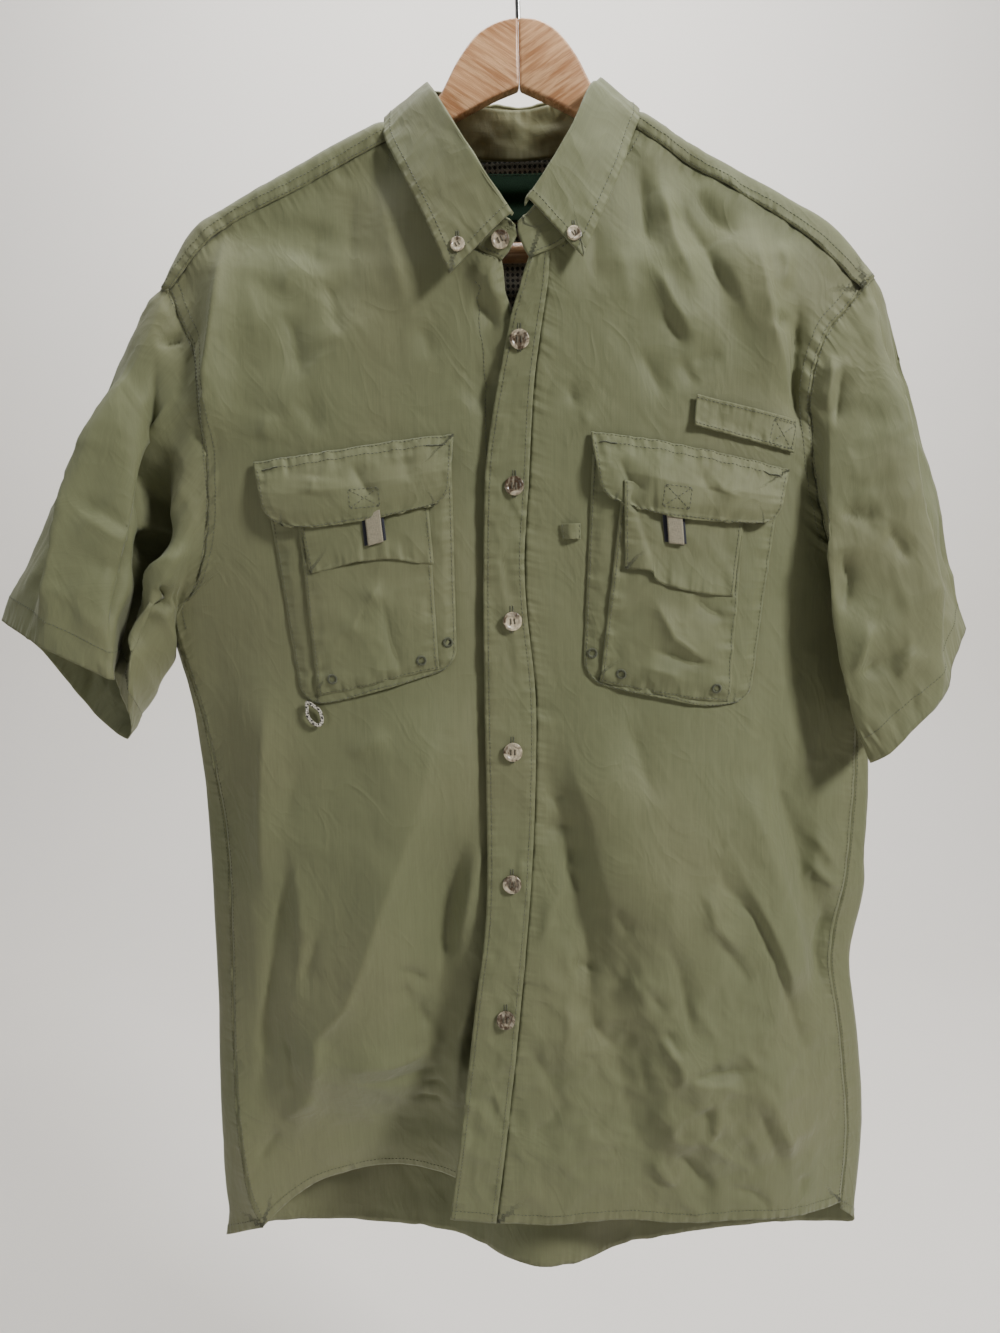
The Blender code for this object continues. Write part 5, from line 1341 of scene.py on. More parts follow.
def mixed(share, a, b):
    """A colour mixed from two by the share, where the share or the first is a value."""
    tree = (share if isinstance(share, Value) else a).tree
    m = tree.nodes.new("ShaderNodeMix")
    m.data_type = "RGBA"
    for value, socket in ((share, m.inputs[0]), (a, m.inputs[6]), (b, m.inputs[7])):
        put(value, socket)
    return Value(tree, m.outputs[2])


def ramp(value, low, high):
    m = value.tree.nodes.new("ShaderNodeMapRange")
    m.interpolation_type = "SMOOTHSTEP"
    m.inputs["From Min"].default_value = low
    m.inputs["From Max"].default_value = high
    put(value, m.inputs["Value"])
    return Value(value.tree, m.outputs["Result"])


def shade(colour, by):
    return tuple(min(1.0, v * by) for v in colour)


def two_tone(value, low, high, colour, dark, light):
    """A colour that goes from a dark share of itself to a light one."""
    return mixed(ramp(value, low, high), shade(colour, dark), shade(colour, light))


def parts(place):
    split = place.tree.nodes.new("ShaderNodeSeparateXYZ")
    put(place, split.inputs[0])
    return Value(place.tree, split.outputs[0]), Value(place.tree, split.outputs[1])


def grouped(name, work, outputs, inputs):
    """Runs values through a node group, which the work fills the first time."""
    group = bpy.data.node_groups.get(name)
    if not group:
        group = bpy.data.node_groups.new(name, "ShaderNodeTree")
        for label, value in inputs.items():
            kind = "NodeSocketVector" if value.socket.type == "VECTOR" else "NodeSocketFloat"
            group.interface.new_socket(name=label, in_out="INPUT", socket_type=kind)
        for label in outputs:
            group.interface.new_socket(name=label, in_out="OUTPUT", socket_type="NodeSocketFloat")
        into, out = group.nodes.new("NodeGroupInput"), group.nodes.new("NodeGroupOutput")
        results = work(*(Value(group, into.outputs[label]) for label in inputs))
        for label, result in zip(outputs, results):
            put(result, out.inputs[label])
    tree = next(iter(inputs.values())).tree
    user = tree.nodes.new("ShaderNodeGroup")
    user.node_tree = group
    for label, value in inputs.items():
        put(value, user.inputs[label])
    return [Value(tree, user.outputs[label]) for label in outputs]


def weave(place, spot):
    """Plain weave with uneven threads: a tone, a height and the uneven wear of the colour."""
    slub = noise(place, 1, (900, 26, 1), detail=3, rough=0.6)
    fine = noise(place, 1, (1500, 60, 1))
    cross = noise(place, 1, (40, 1300, 1))
    broad = noise(place, 1, (260, 9, 1))
    tone = slub * 0.42 + fine * 0.22 + cross * 0.12 + broad * 0.24
    across, along = parts(place)
    height = ((across * THREADS).sine() * (along * THREADS).sine() + 1.0) * 0.5 * 0.35 + slub * 0.65
    return tone, height, noise(spot, 7, detail=3, rough=0.55)


def crinkles(spot, run, pucker_share):
    """Small wrinkles of thin cloth, and the puckers along its seams, as one height."""
    soft = noise(spot, 42, (1, 1, 0.45), detail=3, rough=0.55, distort=0.6)
    sharp = (noise(spot, 30, (1.1, 1, 0.6), (0, 0.5, 0), distort=1.2) - 0.5).maths("ABSOLUTE")
    whole = run.tree.nodes.new("ShaderNodeCombineXYZ")
    put(run, whole.inputs[0])
    wave = noise(Value(run.tree, whole.outputs[0]), 1, (0.13, 1, 1), detail=1)
    return (soft * 0.55 + sharp * -0.9 + (wave - 0.5) * (pucker_share * 1.8),)


def bumped(shader, height, distance, before=None):
    b = height.tree.nodes.new("ShaderNodeBump")
    b.inputs["Strength"].default_value = 1
    b.inputs["Distance"].default_value = distance
    put(height, b.inputs["Height"])
    if before:
        put(before, b.inputs["Normal"])
    normal = Value(height.tree, b.outputs[0])
    put(normal, shader.inputs["Normal"])
    return normal


def uv_place(tree):
    uv = tree.nodes.new("ShaderNodeUVMap")
    uv.uv_map = "cloth"
    return Value(tree, uv.outputs[0])


def object_place(tree):
    return Value(tree, tree.nodes.new("ShaderNodeTexCoord").outputs["Object"])


def attribute(tree, name):
    a = tree.nodes.new("ShaderNodeAttribute")
    a.attribute_name = name
    return Value(tree, a.outputs["Fac"])


def material_of(name, fill, *details):
    """The material of this name, filled the first time that it is asked for."""
    material = bpy.data.materials.get(name)
    if not material:
        material = bpy.data.materials.new(name)
        material.use_nodes = True
        tree = material.node_tree
        fill(tree, tree.nodes["Principled BSDF"], *(tuple(colour) for colour in details))
    return material


def coat(shader, colour, rough, more=()):
    """Sets a shader's colour, its roughness, and more of its inputs."""
    for label, value in (("Base Color", colour), ("Roughness", rough), *more):
        put(value, shader.inputs[label])


def cloth_look(tree, shader, colour, warm):
    spot = object_place(tree)
    places = {"Cloth place": uv_place(tree), "Object place": spot}
    tone, threads, fade = grouped("plain_weave", weave, ("Tone", "Height", "Fade"), places)
    run, near = attribute(tree, "seam_run"), attribute(tree, "pucker")
    seams = {"Object place": spot, "Seam run": run, "Pucker": near}
    height, = grouped("crinkles", crinkles, ("Height",), seams)
    base = mixed(ramp(fade, 0.38, 0.66), colour, warm)
    coat(shader, mixed(0.5, base, two_tone(tone, 0.3, 0.7, colour, 0.84, 1.16)), tone * 0.16 + 0.58,
         (("Sheen Weight", 0.12), ("Sheen Roughness", 0.45), ("Specular IOR Level", 0.32)))
    bumped(shader, threads, WEAVE_BUMP, before=bumped(shader, height, CRINKLE_BUMP))


def cloth_material():
    return material_of("green_shirt_cloth", cloth_look, colours().cloth, colours().cloth_warm)


# The cloth at 0.16 of its colour: painted shade, for the dark seen through the eyelets' holes.
def painted_shade_hole_material():
    dark = [tuple(v * 0.16 for v in colour) for colour in (colours().cloth, colours().cloth_warm)]
    return material_of("painted_shade_hole_cloth", cloth_look, *dark)


def thread_look(tree, shader, colour):
    n = noise(object_place(tree), 2600)
    coat(shader, two_tone(n, 0.35, 0.65, colour, 0.75, 1.25), 0.55, (("Sheen Weight", 0.2),))
    bumped(shader, n, 0.0001)


def thread_material():
    return material_of("green_thread", thread_look, colours().thread)


def mesh_look(tree, shader, colour):
    place = uv_place(tree)
    across, along = parts(place)
    slant = along * 0.83
    # The holes are painted at a tenth of the mesh's colour: painted shade for the dark seen through them;
    # they also sink the bump.
    painted_shade_hole = ramp(((across + slant) * 827).sine() * ((across - slant) * 827).sine(), 0.1, 0.35)
    n = noise(place, 1, (900, 900, 1))
    coat(shader, mixed(painted_shade_hole, two_tone(n, 0.3, 0.7, colour, 0.72, 1.3), shade(colour, 0.1)), 0.85)
    bumped(shader, n * 0.3 - painted_shade_hole, 0.0006)


def label_look(tree, shader, colour):
    n = noise(uv_place(tree), 1, (2600, 700, 1))
    coat(shader, two_tone(n, 0.3, 0.7, colour, 0.7, 1.6), 0.8, (("Specular IOR Level", 0.15),))
    bumped(shader, n, 0.00012)


def tape_look(tree, shader, colour):
    place = uv_place(tree)
    tone = noise(place, 1, (300, 2600, 1), detail=1) * 0.5 + noise(place, 1, (1800, 400, 1)) * 0.5
    coat(shader, two_tone(tone, 0.32, 0.68, colour, 0.78, 1.16), 0.7, (("Sheen Weight", 0.15),))
    bumped(shader, tone, 0.0002)


def cord_look(tree, shader, colour):
    along, round_it = parts(uv_place(tree))
    turn = round_it * 12.6
    a, b = (along * 1900 + turn).sine(), (along * 1900 - turn).sine()
    plait = a * b
    fleck = ramp((along * 950 + turn).sine(), 0.1, 0.25) * ramp(b, -0.2, 0)
    # The plait is painted down to 0.55 of its colour where its bump sinks: painted shade in the grooves. The
    # black flecks are the cord's own pattern.
    coat(shader, mixed(fleck, two_tone(plait, -0.6, 0.4, colour, 0.55, 1), (0.012, 0.012, 0.012)), 0.7)
    bumped(shader, plait, 0.0004)


def horn_look(tree, shader, light, dark):
    spot = object_place(tree)
    big = noise(spot, 62, detail=3, rough=0.55, distort=1.4)
    fine = noise(spot, 420, (1, 1, 0.4), detail=3, rough=0.6, distort=0.8)
    base = mixed(ramp(big, 0.42, 0.53), light, dark)
    coat(shader, mixed(ramp(fine, 0.42, 0.7), base, shade(light, 0.55)), fine * 0.12 + 0.2,
         (("Coat Weight", 0.4), ("Coat Roughness", 0.15)))
    bumped(shader, fine, 0.00005)


def wood_look(tree, shader, light, dark, turn):
    """Varnished wood whose grain runs along one arm of the hanger."""
    spot = object_place(tree)
    grain = noise(spot, 1, (30, 120, 420), turn, detail=4, rough=0.6, distort=0.4)
    pores = noise(spot, 1, (140, 500, 1500), turn, detail=3, rough=0.7)
    broad = noise(spot, 1, (12, 30, 60), turn)
    base = mixed(ramp(grain, 0.36, 0.66), dark, light)
    base = mixed(ramp(pores, 0.5, 0.68) * 0.35, base, shade(dark, 0.7))
    base = mixed(ramp(broad, 0.4, 0.66) * 0.35, base, shade(light, 1.3))
    coat(shader, base, pores * 0.22 + 0.26, (("Coat Weight", 0.45), ("Coat Roughness", 0.22)))
    bumped(shader, grain - pores * 0.8, 0.00025)


def wood_material(name, lean):
    return material_of(name, wood_look, colours().wood_light, colours().wood_dark, (0, math.radians(lean), 0))


def steel_look(tree, shader, colour):
    n = noise(object_place(tree), 600, (1, 1, 0.15), detail=3)
    coat(shader, mixed(n, shade(colour, 0.82), colour), n * 0.2 + 0.16, (("Metallic", 1),))
    bumped(shader, n, 0.00004)


def wall_look(tree, shader, colour):
    coat(shader, two_tone(noise(object_place(tree), 3), 0.3, 0.7, colour, 0.985, 1), 0.9)


# Building pieces


def piece(name, points, faces, material):
    """A piece from points in metres, riding on the body."""
    mesh = bpy.data.meshes.new(name)
    points = np.asarray(points, np.float32)
    faces = np.asarray(faces, np.int32)
    mesh.vertices.add(len(points))
    mesh.vertices.foreach_set("co", points.ravel())
    mesh.loops.add(faces.size)
    mesh.loops.foreach_set("vertex_index", faces.ravel())
    mesh.polygons.add(len(faces))
    mesh.polygons.foreach_set("loop_start", np.arange(0, faces.size, faces.shape[1], dtype=np.int32))
    mesh.polygons.foreach_set("use_smooth", np.full(len(faces), True))
    mesh.update(calc_edges=True)
    mesh.validate()
    made_piece = bpy.data.objects.new(name, mesh)
    bpy.context.scene.collection.objects.link(made_piece)
    mesh.materials.append(material)
    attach(made_piece, "root")
    return made_piece


def corners_of(grid, outward):
    """The four corners of each cell of a grid, in the order that faces the cell outwards."""
    a, b, c, d = grid[:-1, :-1], grid[:-1, 1:], grid[1:, 1:], grid[1:, :-1]
    return np.stack((a, d, c, b) if outward < 0 else (a, b, c, d), axis=2)


def cloth(name, grid, material, thick=None, outward=-1.0, closed=False, sides=(), straight=False):
    """A sheet of cloth whose outer face is the grid, in millimetres. A straight one's grain runs plumb."""
    rows, cols = grid.shape[:2]
    index = np.arange(rows * cols).reshape(rows, cols)
    g = grid
    if closed:
        index, g = (np.concatenate([a, a[:, :1]], axis=1) for a in (index, grid))
    sheet = piece(name, grid.reshape(-1, 3) * MM, corners_of(index, outward).reshape(-1, 4), material)
    middle = g.shape[1] // 2
    step = np.linalg.norm(np.diff(g, axis=1), axis=2)
    u = np.concatenate([np.zeros((rows, 1)), np.cumsum(step, axis=1)], axis=1)
    u = (u - u[:, [middle]]) * MM
    v = np.repeat(-lengths(g[:, middle])[:, None] * MM, g.shape[1], axis=1)
    uv = g[..., (0, 2)] * MM if straight else np.stack([u, v], axis=-1)
    layer = sheet.data.uv_layers.new(name="cloth")
    layer.data.foreach_set("uv", corners_of(uv, outward).astype(np.float32).ravel())
    near = np.full((rows, cols), 1e3)
    along = np.zeros((rows, cols))
    for side in sides:
        away, run = from_side(grid, side)
        along = np.where(away < near, run, along)
        near = np.minimum(away, near)
    for label, values in (("pucker", np.exp(-(near / 8) ** 1.3)), ("seam_run", along)):
        attr = sheet.data.attributes.new(label, "FLOAT", "POINT")
        attr.data.foreach_set("value", values.astype(np.float32).ravel())
    wall = sheet.modifiers.new("cloth thickness", "SOLIDIFY")
    wall.thickness = thick or sizes().cloth_thickness
    wall.offset = -1
    wall.use_quality_normals = True
    return sheet


# A stitch as a spindle of five rings: share of its length, then of its half width across and up
STITCH = np.array((
    (-0.5, 0, 0), (-0.32, 1, 0), (-0.32, 0, 1), (-0.32, -1, 0), (-0.32, 0, -1),
    (0, 1, 0.1), (0, 0, 1.25), (0, -1, 0.1), (0, 0, -1),
    (0.32, 1, 0), (0.32, 0, 1), (0.32, -1, 0), (0.32, 0, -1), (0.5, 0, 0),
))
STITCH_FACES = [(0, 1 + (k + 1) % 4, 1 + k) for k in range(4)]
for first in (1, 5):
    for a, b in ((0, 1), (1, 2), (2, 3), (3, 0)):
        STITCH_FACES += [(first + a, first + b, first + 4 + b), (first + a, first + 4 + b, first + 4 + a)]
STITCH_FACES = np.array(STITCH_FACES + [(9 + k, 9 + (k + 1) % 4, 13) for k in range(4)])


def stitching(name, runs, pitch=None, long=None, across=None, lift=0.10):
    """Rows of raised stitches along lines of points in millimetres, each with the way the cloth faces."""
    long = long or sizes().stitch_length / MM
    pitch = pitch or long + sizes().stitch_gap / MM
    across = across or sizes().thread_across / MM
    shape = STITCH * (long, across / 2, across / 2)
    points, faces = [], []
    for line, normals in runs:
        run = lengths(line)
        count = max(1, int(run[-1] / pitch))
        at = (np.arange(count) + 0.5) * run[-1] / count
        place, n = read_off(at, run, line), read_off(at, run, normals)
        d = read_off(np.minimum(at + 0.8, run[-1]), run, line) - read_off(np.maximum(at - 0.8, 0), run, line)
        d /= np.maximum(np.linalg.norm(d, axis=1, keepdims=True), 1e-9)
        n -= d * (n * d).sum(axis=1, keepdims=True)
        n /= np.maximum(np.linalg.norm(n, axis=1, keepdims=True), 1e-9)
        for p, ahead, side, up in zip(place, d, np.cross(n, d), n):
            faces.append(STITCH_FACES + len(points) * len(shape))
            points.append(p + up * lift + shape[:, :1] * ahead + shape[:, 1:2] * side + shape[:, 2:3] * up)
    sewn = piece(name, np.concatenate(points) * MM, np.concatenate(faces), thread_material())


def finish_piece(made_piece, slot_name, *nodes):
    if nodes:
        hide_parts(*nodes)


# Sheets of cloth: the grid, the solid that it replaces, the cut's width, length and flat area in metres,
# how it is held, and what it rests on
SHEETS = {
    "cloth_front_right": ("front_right", "front_right", 0.275, 0.84, 0.19, "hung", "cloth_yoke"),
    "cloth_front_left": ("front_left", "front_left", 0.3, 0.83, 0.205, "hung", "cloth_yoke"),
    "cloth_placket": ("placket", "placket", 0.036, 0.72, 0.025, "hung", "cloth_front_left"),
    "cloth_back": ("back", "back", 0.56, 0.72, 0.36, "hung", "cloth_yoke"),
    "cloth_yoke": ("yoke", "yoke", 0.52, 0.25, 0.11, "hung", "hanger_wood_left", "hanger_wood_right"),
    "lining_mesh": ("lining", "mesh_lining", 0.23, 0.16, 0.026, "hung", "cloth_yoke"),
    "neck_label": ("label", "label", 0.06, 0.036, 0.00216, "hung", "lining_mesh"),
    "cloth_collar_stand": ("collar_stand", "collar_stand", 0.44, 0.042, 0.016, "folded", "cloth_yoke"),
    "cloth_collar_leaf": ("collar_leaf", "collar_leaf", 0.42, 0.08, 0.028, "folded", "cloth_collar_stand"),
    "chest_strap": ("strap", "strap", 0.076, 0.024, 0.0017, "hung", "cloth_front_left"),
    "side_loop": ("loop", "utility_loop", 0.017, 0.0115, 0.00019, "hung", "cloth_front_left"),
}
for end, strip_long, tab_long in (("right", 0.065, 0.027), ("left", 0.075, 0.028)):
    front, flap = "cloth_front_" + end, "flap_cloth_" + end
    for start, *row in (
        ("cloth_sleeve_", "sleeve_" + end, "sleeve_" + end, 0.4, 0.23, 0.076, "hung", "cloth_yoke"),
        ("pocket_bag_", "bag_" + end, "pocket_" + end, 0.14, 0.17, 0.0215, "hung", front),
        ("pocket_panel_", "centre_" + end, "pocket_centre_" + end, 0.11, 0.15, 0.015, "folded",
         "pocket_bag_" + end),
        ("pocket_strip_", "facing_" + end, "", 0.095, strip_long, 0.0055 if end == "right" else 0.006, "hung",
         "pocket_panel_" + end),
        ("flap_cloth_", "flap_" + end, "flap_" + end, 0.145, 0.062, 0.0075, "hung", front),
        ("tab_tape_", "tab_" + end, "tab_" + end, 0.0125, tab_long, 0.0003, "hung", flap),
        ("tab_backing_", "tab_backing_" + end, "", 0.017, tab_long, 0.0004, "hung", flap),
    ):
        SHEETS[start + end] = row


def lay(name, material=None, slot="green_cloth", **shape):
    """Makes a sheet of cloth from its grid, and hides the solid that it replaces."""
    grid, node, wide, long, area, held, *rests_on = SHEETS[name]
    sheet = cloth(name, shapes()[grid], material or cloth_material(), **shape)
    if node:
        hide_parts(node)


class ShirtStep:
    bl_options = {"REGISTER", "UNDO"}


class SHIRT_OT_fronts(ShirtStep, bpy.types.Operator):
    """Makes the two fronts and the placket"""

    bl_idname = "shirt.fronts"
    bl_label = "Front panels"

    def execute(self, context):
        for name in ("cloth_front_right", "cloth_front_left"):
            lay(name, sides=("left", "top", "low", "right"), straight=True)
        lay("cloth_placket", thick=0.0011, sides=("left", "right"))
        return {"FINISHED"}


class SHIRT_OT_back(ShirtStep, bpy.types.Operator):
    """Makes the back, the yoke, the mesh lining and the plain label"""

    bl_idname = "shirt.back"
    bl_label = "Back, yoke and lining"

    def execute(self, context):
        sides = ("left", "top", "low", "right")
        lay("cloth_back", outward=1.0, sides=sides, straight=True)
        lay("cloth_yoke", thick=0.0012, outward=1.0, sides=sides)
        lay("lining_mesh", material_of("mesh_lining_cloth", mesh_look, colours().mesh), "mesh_cloth")
        lay("neck_label", material_of("neck_label_cloth", label_look, colours().label), "label_cloth")
        return {"FINISHED"}


class SHIRT_OT_collar(ShirtStep, bpy.types.Operator):
    """Makes the collar's stand and its leaf"""

    bl_idname = "shirt.collar"
    bl_label = "Collar"

    def execute(self, context):
        thick = sizes().collar_thickness
        lay("cloth_collar_stand", thick=thick, outward=1.0, sides=("top", "low", "left", "right"))
        lay("cloth_collar_leaf", thick=thick, sides=("top", "low", "right"))
        return {"FINISHED"}


class SHIRT_OT_sleeves(ShirtStep, bpy.types.Operator):
    """Makes the two short sleeves"""

    bl_idname = "shirt.sleeves"
    bl_label = "Sleeves"

    def execute(self, context):
        for side, outward in SLEEVE_WAYS:
            lay("cloth_sleeve_" + side, outward=outward, closed=True, sides=("top", "low"))
        return {"FINISHED"}


class SHIRT_OT_pockets(ShirtStep, bpy.types.Operator):
    """Makes the pocket bags, their raised panels, strips, flaps and tabs"""

    bl_idname = "shirt.pockets"
    bl_label = "Pockets"

    def execute(self, context):
        khaki = material_of("khaki_tape", tape_look, colours().tape)
        navy = material_of("navy_tape", tape_look, colours().tape_back)
        for side in ("right", "left"):
            lay("pocket_bag_" + side, sides=("left", "right", "low"), straight=True)
            lay("pocket_panel_" + side, sides=("left", "right", "low"), straight=True)
            lay("pocket_strip_" + side, sides=("left", "low"))
            lay("flap_cloth_" + side, thick=sizes().collar_thickness, sides=("top", "left", "right", "low"))
            lay("tab_tape_" + side, khaki, "tab_tape", thick=0.0009)
            lay("tab_backing_" + side, navy, "tab_tape", thick=0.0008)
        return {"FINISHED"}


def tube(name, path, across, material, sides=12):
    """A closed ring of cord through the path's points, in millimetres."""
    n = len(path)
    ahead = np.roll(path, -1, axis=0) - np.roll(path, 1, axis=0)
    ahead /= np.linalg.norm(ahead, axis=1, keepdims=True)
    out = np.cross(ahead, np.array((0, 1.0, 0)))
    out /= np.linalg.norm(out, axis=1, keepdims=True)
    turn = 2 * math.pi * np.arange(sides)[None, :, None] / sides
    ring = out[:, None] * np.cos(turn) + np.cross(out, ahead)[:, None] * np.sin(turn)
    points = (path[:, None] + ring * across / 2).reshape(-1, 3)
    i, k = np.meshgrid(np.arange(n), np.arange(sides), indexing="ij")
    i2, k2 = (i + 1) % n, (k + 1) % sides
    faces = np.stack([i * sides + k, i * sides + k2, i2 * sides + k2, i2 * sides + k], axis=-1)
    cord = piece(name, points * MM, faces.reshape(-1, 4), material)
    run = lengths(np.concatenate([path, path[:1]])) * MM
    corners = ((i, k), (i, k + 1), (i + 1, k + 1), (i + 1, k))
    uv = np.stack([np.stack([run[a], b / sides], -1) for a, b in corners], axis=2)
    layer = cord.data.uv_layers.new(name="cloth")
    layer.data.foreach_set("uv", uv.astype(np.float32).ravel())
    return cord


class SHIRT_OT_strap(ShirtStep, bpy.types.Operator):
    """Makes the chest strap, the side loop and the cord loop"""

    bl_idname = "shirt.strap"
    bl_label = "Strap and loops"

    def execute(self, context):
        lay("chest_strap", thick=0.0011, sides=("top", "low"))
        lay("side_loop", thick=0.001, sides=("top", "low"))
        x, z, long, wide, turn = CORD_LOOP
        s = np.linspace(0, 2 * math.pi, 90, endpoint=False)
        a = math.radians(turn)
        u = np.cos(s) * (long - CORD_ACROSS) / 2
        w = np.sin(s) * (wide - CORD_ACROSS) / 2 * (0.45 + 0.55 * smooth_step((1 + np.cos(s)) / 1.1))
        px, pz = x + u * math.cos(a) + w * math.sin(a), z - u * math.sin(a) + w * math.cos(a)
        y = right_depth(np.full(1, x), np.full(1, z))[0] - 4.2 - 0.8 * np.cos(s)
        look = material_of("flecked_cord", cord_look, colours().cord)
        cord = tube("cord_loop_cord", np.stack([px, y, pz], axis=1), CORD_ACROSS, look)
        finish_piece(cord, "cord", "cord_loop")
        return {"FINISHED"}


# Stitching


def box_lines(x, z, wide, high, turn):
    a = math.radians(turn)
    ways = ((-wide / 2, high / 2), (wide / 2, high / 2), (wide / 2, -high / 2), (-wide / 2, -high / 2))
    corner = [(x + p * math.cos(a) - q * math.sin(a), z + p * math.sin(a) + q * math.cos(a)) for p, q in ways]
    return [(corner[i], corner[j]) for i, j in ((0, 1), (1, 2), (2, 3), (3, 0), (0, 2), (1, 3))]


def settled_line(grid, start, end, count=None):
    count = count or max(3, int(math.dist(start, end)))
    share = np.linspace(0, 1, count)[:, None]
    return settle(grid, np.array(start) * (1 - share) + np.array(end) * share)


def crossed_box(owner):
    """Lines of stitching round a box and from corner to corner."""
    lines = [line for who, *place in CROSS_BOXES if who == owner for line in box_lines(*place)]
    return [settled_line(made[owner], *line) for line in lines]


def nearer_end(grid, rows, x, z):
    return min((grid[:rows], grid[-rows:]), key=lambda p: np.hypot(p[..., 0] - x, p[..., 2] - z).min())


class SHIRT_OT_stitching(ShirtStep, bpy.types.Operator):
    """Sews every seam, hem and buttonhole"""

    bl_idname = "shirt.stitching"
    bl_label = "Stitching"

    def execute(self, context):
        shapes()
        hem = ("low", sizes().hem_width / MM)
        # For each group its grids, and for each row the side, how far in, and where it starts and ends.
        groups = {
            "front_right": {"front_right": (hem, ("left", 2, 0, 0.33), ("left", 9, 0, 0.33),
                                            ("left", 2.2, 0.35), ("right", 4.5, 0, 0.14),
                                            ("right", 26, 0.14, 0.3))},
            "front_left": {"front_left": (hem, ("right", 2, 0, 0.33), ("right", 9, 0, 0.33),
                                          ("right", 2.2, 0.35), ("left", 4.5, 0, 0.12))},
            "placket": {"placket": (("left", 3.5), ("right", 3.5), hem)},
            "back": {"back": (hem, ("left", 2.2, 0.02), ("right", 2.2, 0.02))},
            "yoke": {"yoke": (("top", 1.5, 0, 0.36), ("top", 7.5, 0, 0.36), ("top", 1.5, 0.64),
                              ("top", 7.5, 0.64), ("low", 2), ("low", 8), ("left", 2), ("right", 2))},
            "collar": {"collar_leaf": (("right", 6), ("top", 6), ("low", 6)),
                       "collar_stand": (("left", 2.5), ("right", 2.5))},
            "lining": {"label": (("left", 1.2), ("right", 1.2), ("top", 1.2)), "lining": (("top", 3),)},
            "strap": {"strap": (("top", 2.2), ("low", 2.2)), "loop": (("left", 1.2), ("right", 1.2))},
        }
        around = (("left", 2), ("right", 2), ("low", 2))
        for side in ("right", "left"):
            groups["pocket_" + side] = {"bag_" + side: around, "centre_stitch_" + side: around,
                                        "facing_" + side: around[:2]}
            groups["flap_" + side] = {"flap_" + side: (
                ("top", 1.5, 0.01, 0.99), ("top", 7.5, 0.03, 0.97), ("low", 2, 0.02, 0.98),
                ("left", 2, 0.12, 0.97), ("right", 2, 0.12, 0.97))}
        facing_back = ("back", "yoke", "collar_stand")
        for name, grids in groups.items():
            runs = [line_in(made[grid], *row, outward=1.0 if grid in facing_back else -1.0)
                    for grid, rows in grids.items() for row in rows]
            stitching("stitching_" + name, runs + crossed_box(name))
        for side, outward in SLEEVE_WAYS:
            grid = made["sleeve_" + side]
            ring = np.concatenate([grid, grid[:, :1]], axis=1)
            runs = [line_in(ring, "low", 20, outward=outward), line_in(ring, "top", 2, outward=outward)]
            stitching("stitching_sleeve_" + side, runs)
        runs = []
        for side in ("right", "left"):
            line, normals = line_in(made["flap_" + side], "top", 7.5)
            for part in (slice(4, 14), slice(-15, -5)):
                runs.append((line[part] + normals[part] * 0.1, normals[part]))
        stitching("bar_tacks", runs, pitch=0.9, long=1.2, across=1.1, lift=0.15)
        holes = []
        for x, z in BUTTONS:
            for shift in (-0.9, 0.9):
                holes.append(settled_line(made["placket"], (x + shift, z + 11), (x + shift - 0.5, z - 8)))
        for _, x, z in COLLAR_BUTTONS:
            for shift in (-0.7, 0.7):
                near = nearer_end(made["collar_leaf"], 90, x, z)
                holes.append(settled_line(near, (x + shift, z + 9), (x + shift, z - 5), 10))
        stitching("buttonholes", holes, pitch=0.62, long=1, across=0.8, lift=0.12)
        return {"FINISHED"}


# Hard pieces


def only(*pieces):
    """Leaves edit mode and selects these pieces alone, with the first one active."""
    if bpy.context.mode != "OBJECT":
        bpy.ops.object.mode_set(mode="OBJECT")
    bpy.ops.object.select_all(action="DESELECT")
    for item in pieces:
        item.select_set(True)
    if pieces:
        bpy.context.view_layer.objects.active = pieces[0]


def fresh(add, **settings):
    """Runs an operator that adds an object, and gives back the object."""
    only()
    add(**settings)
    return bpy.context.object


def select_faces(made_piece, test=lambda face: True):
    """Goes into edit mode with only the faces that pass the test selected."""
    only(made_piece)
    mesh = made_piece.data
    for item in (*mesh.vertices, *mesh.edges):
        item.select = False
    for face in mesh.polygons:
        face.select = bool(test(face))
    bpy.ops.object.mode_set(mode="EDIT")
    bpy.ops.mesh.select_mode(type="FACE")


def inset(made_piece, test, *rounds):
    """Insets the faces that pass the test, once for each thickness and depth."""
    select_faces(made_piece, test)
    for thickness, depth in rounds:
        bpy.ops.mesh.inset(thickness=thickness, depth=depth)
    bpy.ops.object.mode_set(mode="OBJECT")


def modify(made_piece, kind, **settings):
    """Adds a modifier and applies it."""
    modifier = made_piece.modifiers.new("step", kind)
    for key, value in settings.items():
        setattr(modifier, key, value)
    only(made_piece)
    bpy.ops.object.modifier_apply(modifier=modifier.name)


def round_edges(made_piece, width, segments, degrees):
    modify(made_piece, "BEVEL", width=width, segments=segments, limit_method="ANGLE",
           angle_limit=math.radians(degrees))


def smooth_below(degrees):
    bpy.ops.object.shade_smooth_by_angle(angle=math.radians(degrees))


def cover(made_piece, *materials):
    made_piece.data.materials.clear()
    for material in materials:
        made_piece.data.materials.append(material)


def finish_hard(made_piece, name, slot_name, node):
    """Names a hard piece and fixes it to the body."""
    made_piece.name = made_piece.data.name = name
    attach(made_piece, "root")
    finish_piece(made_piece, slot_name, node)


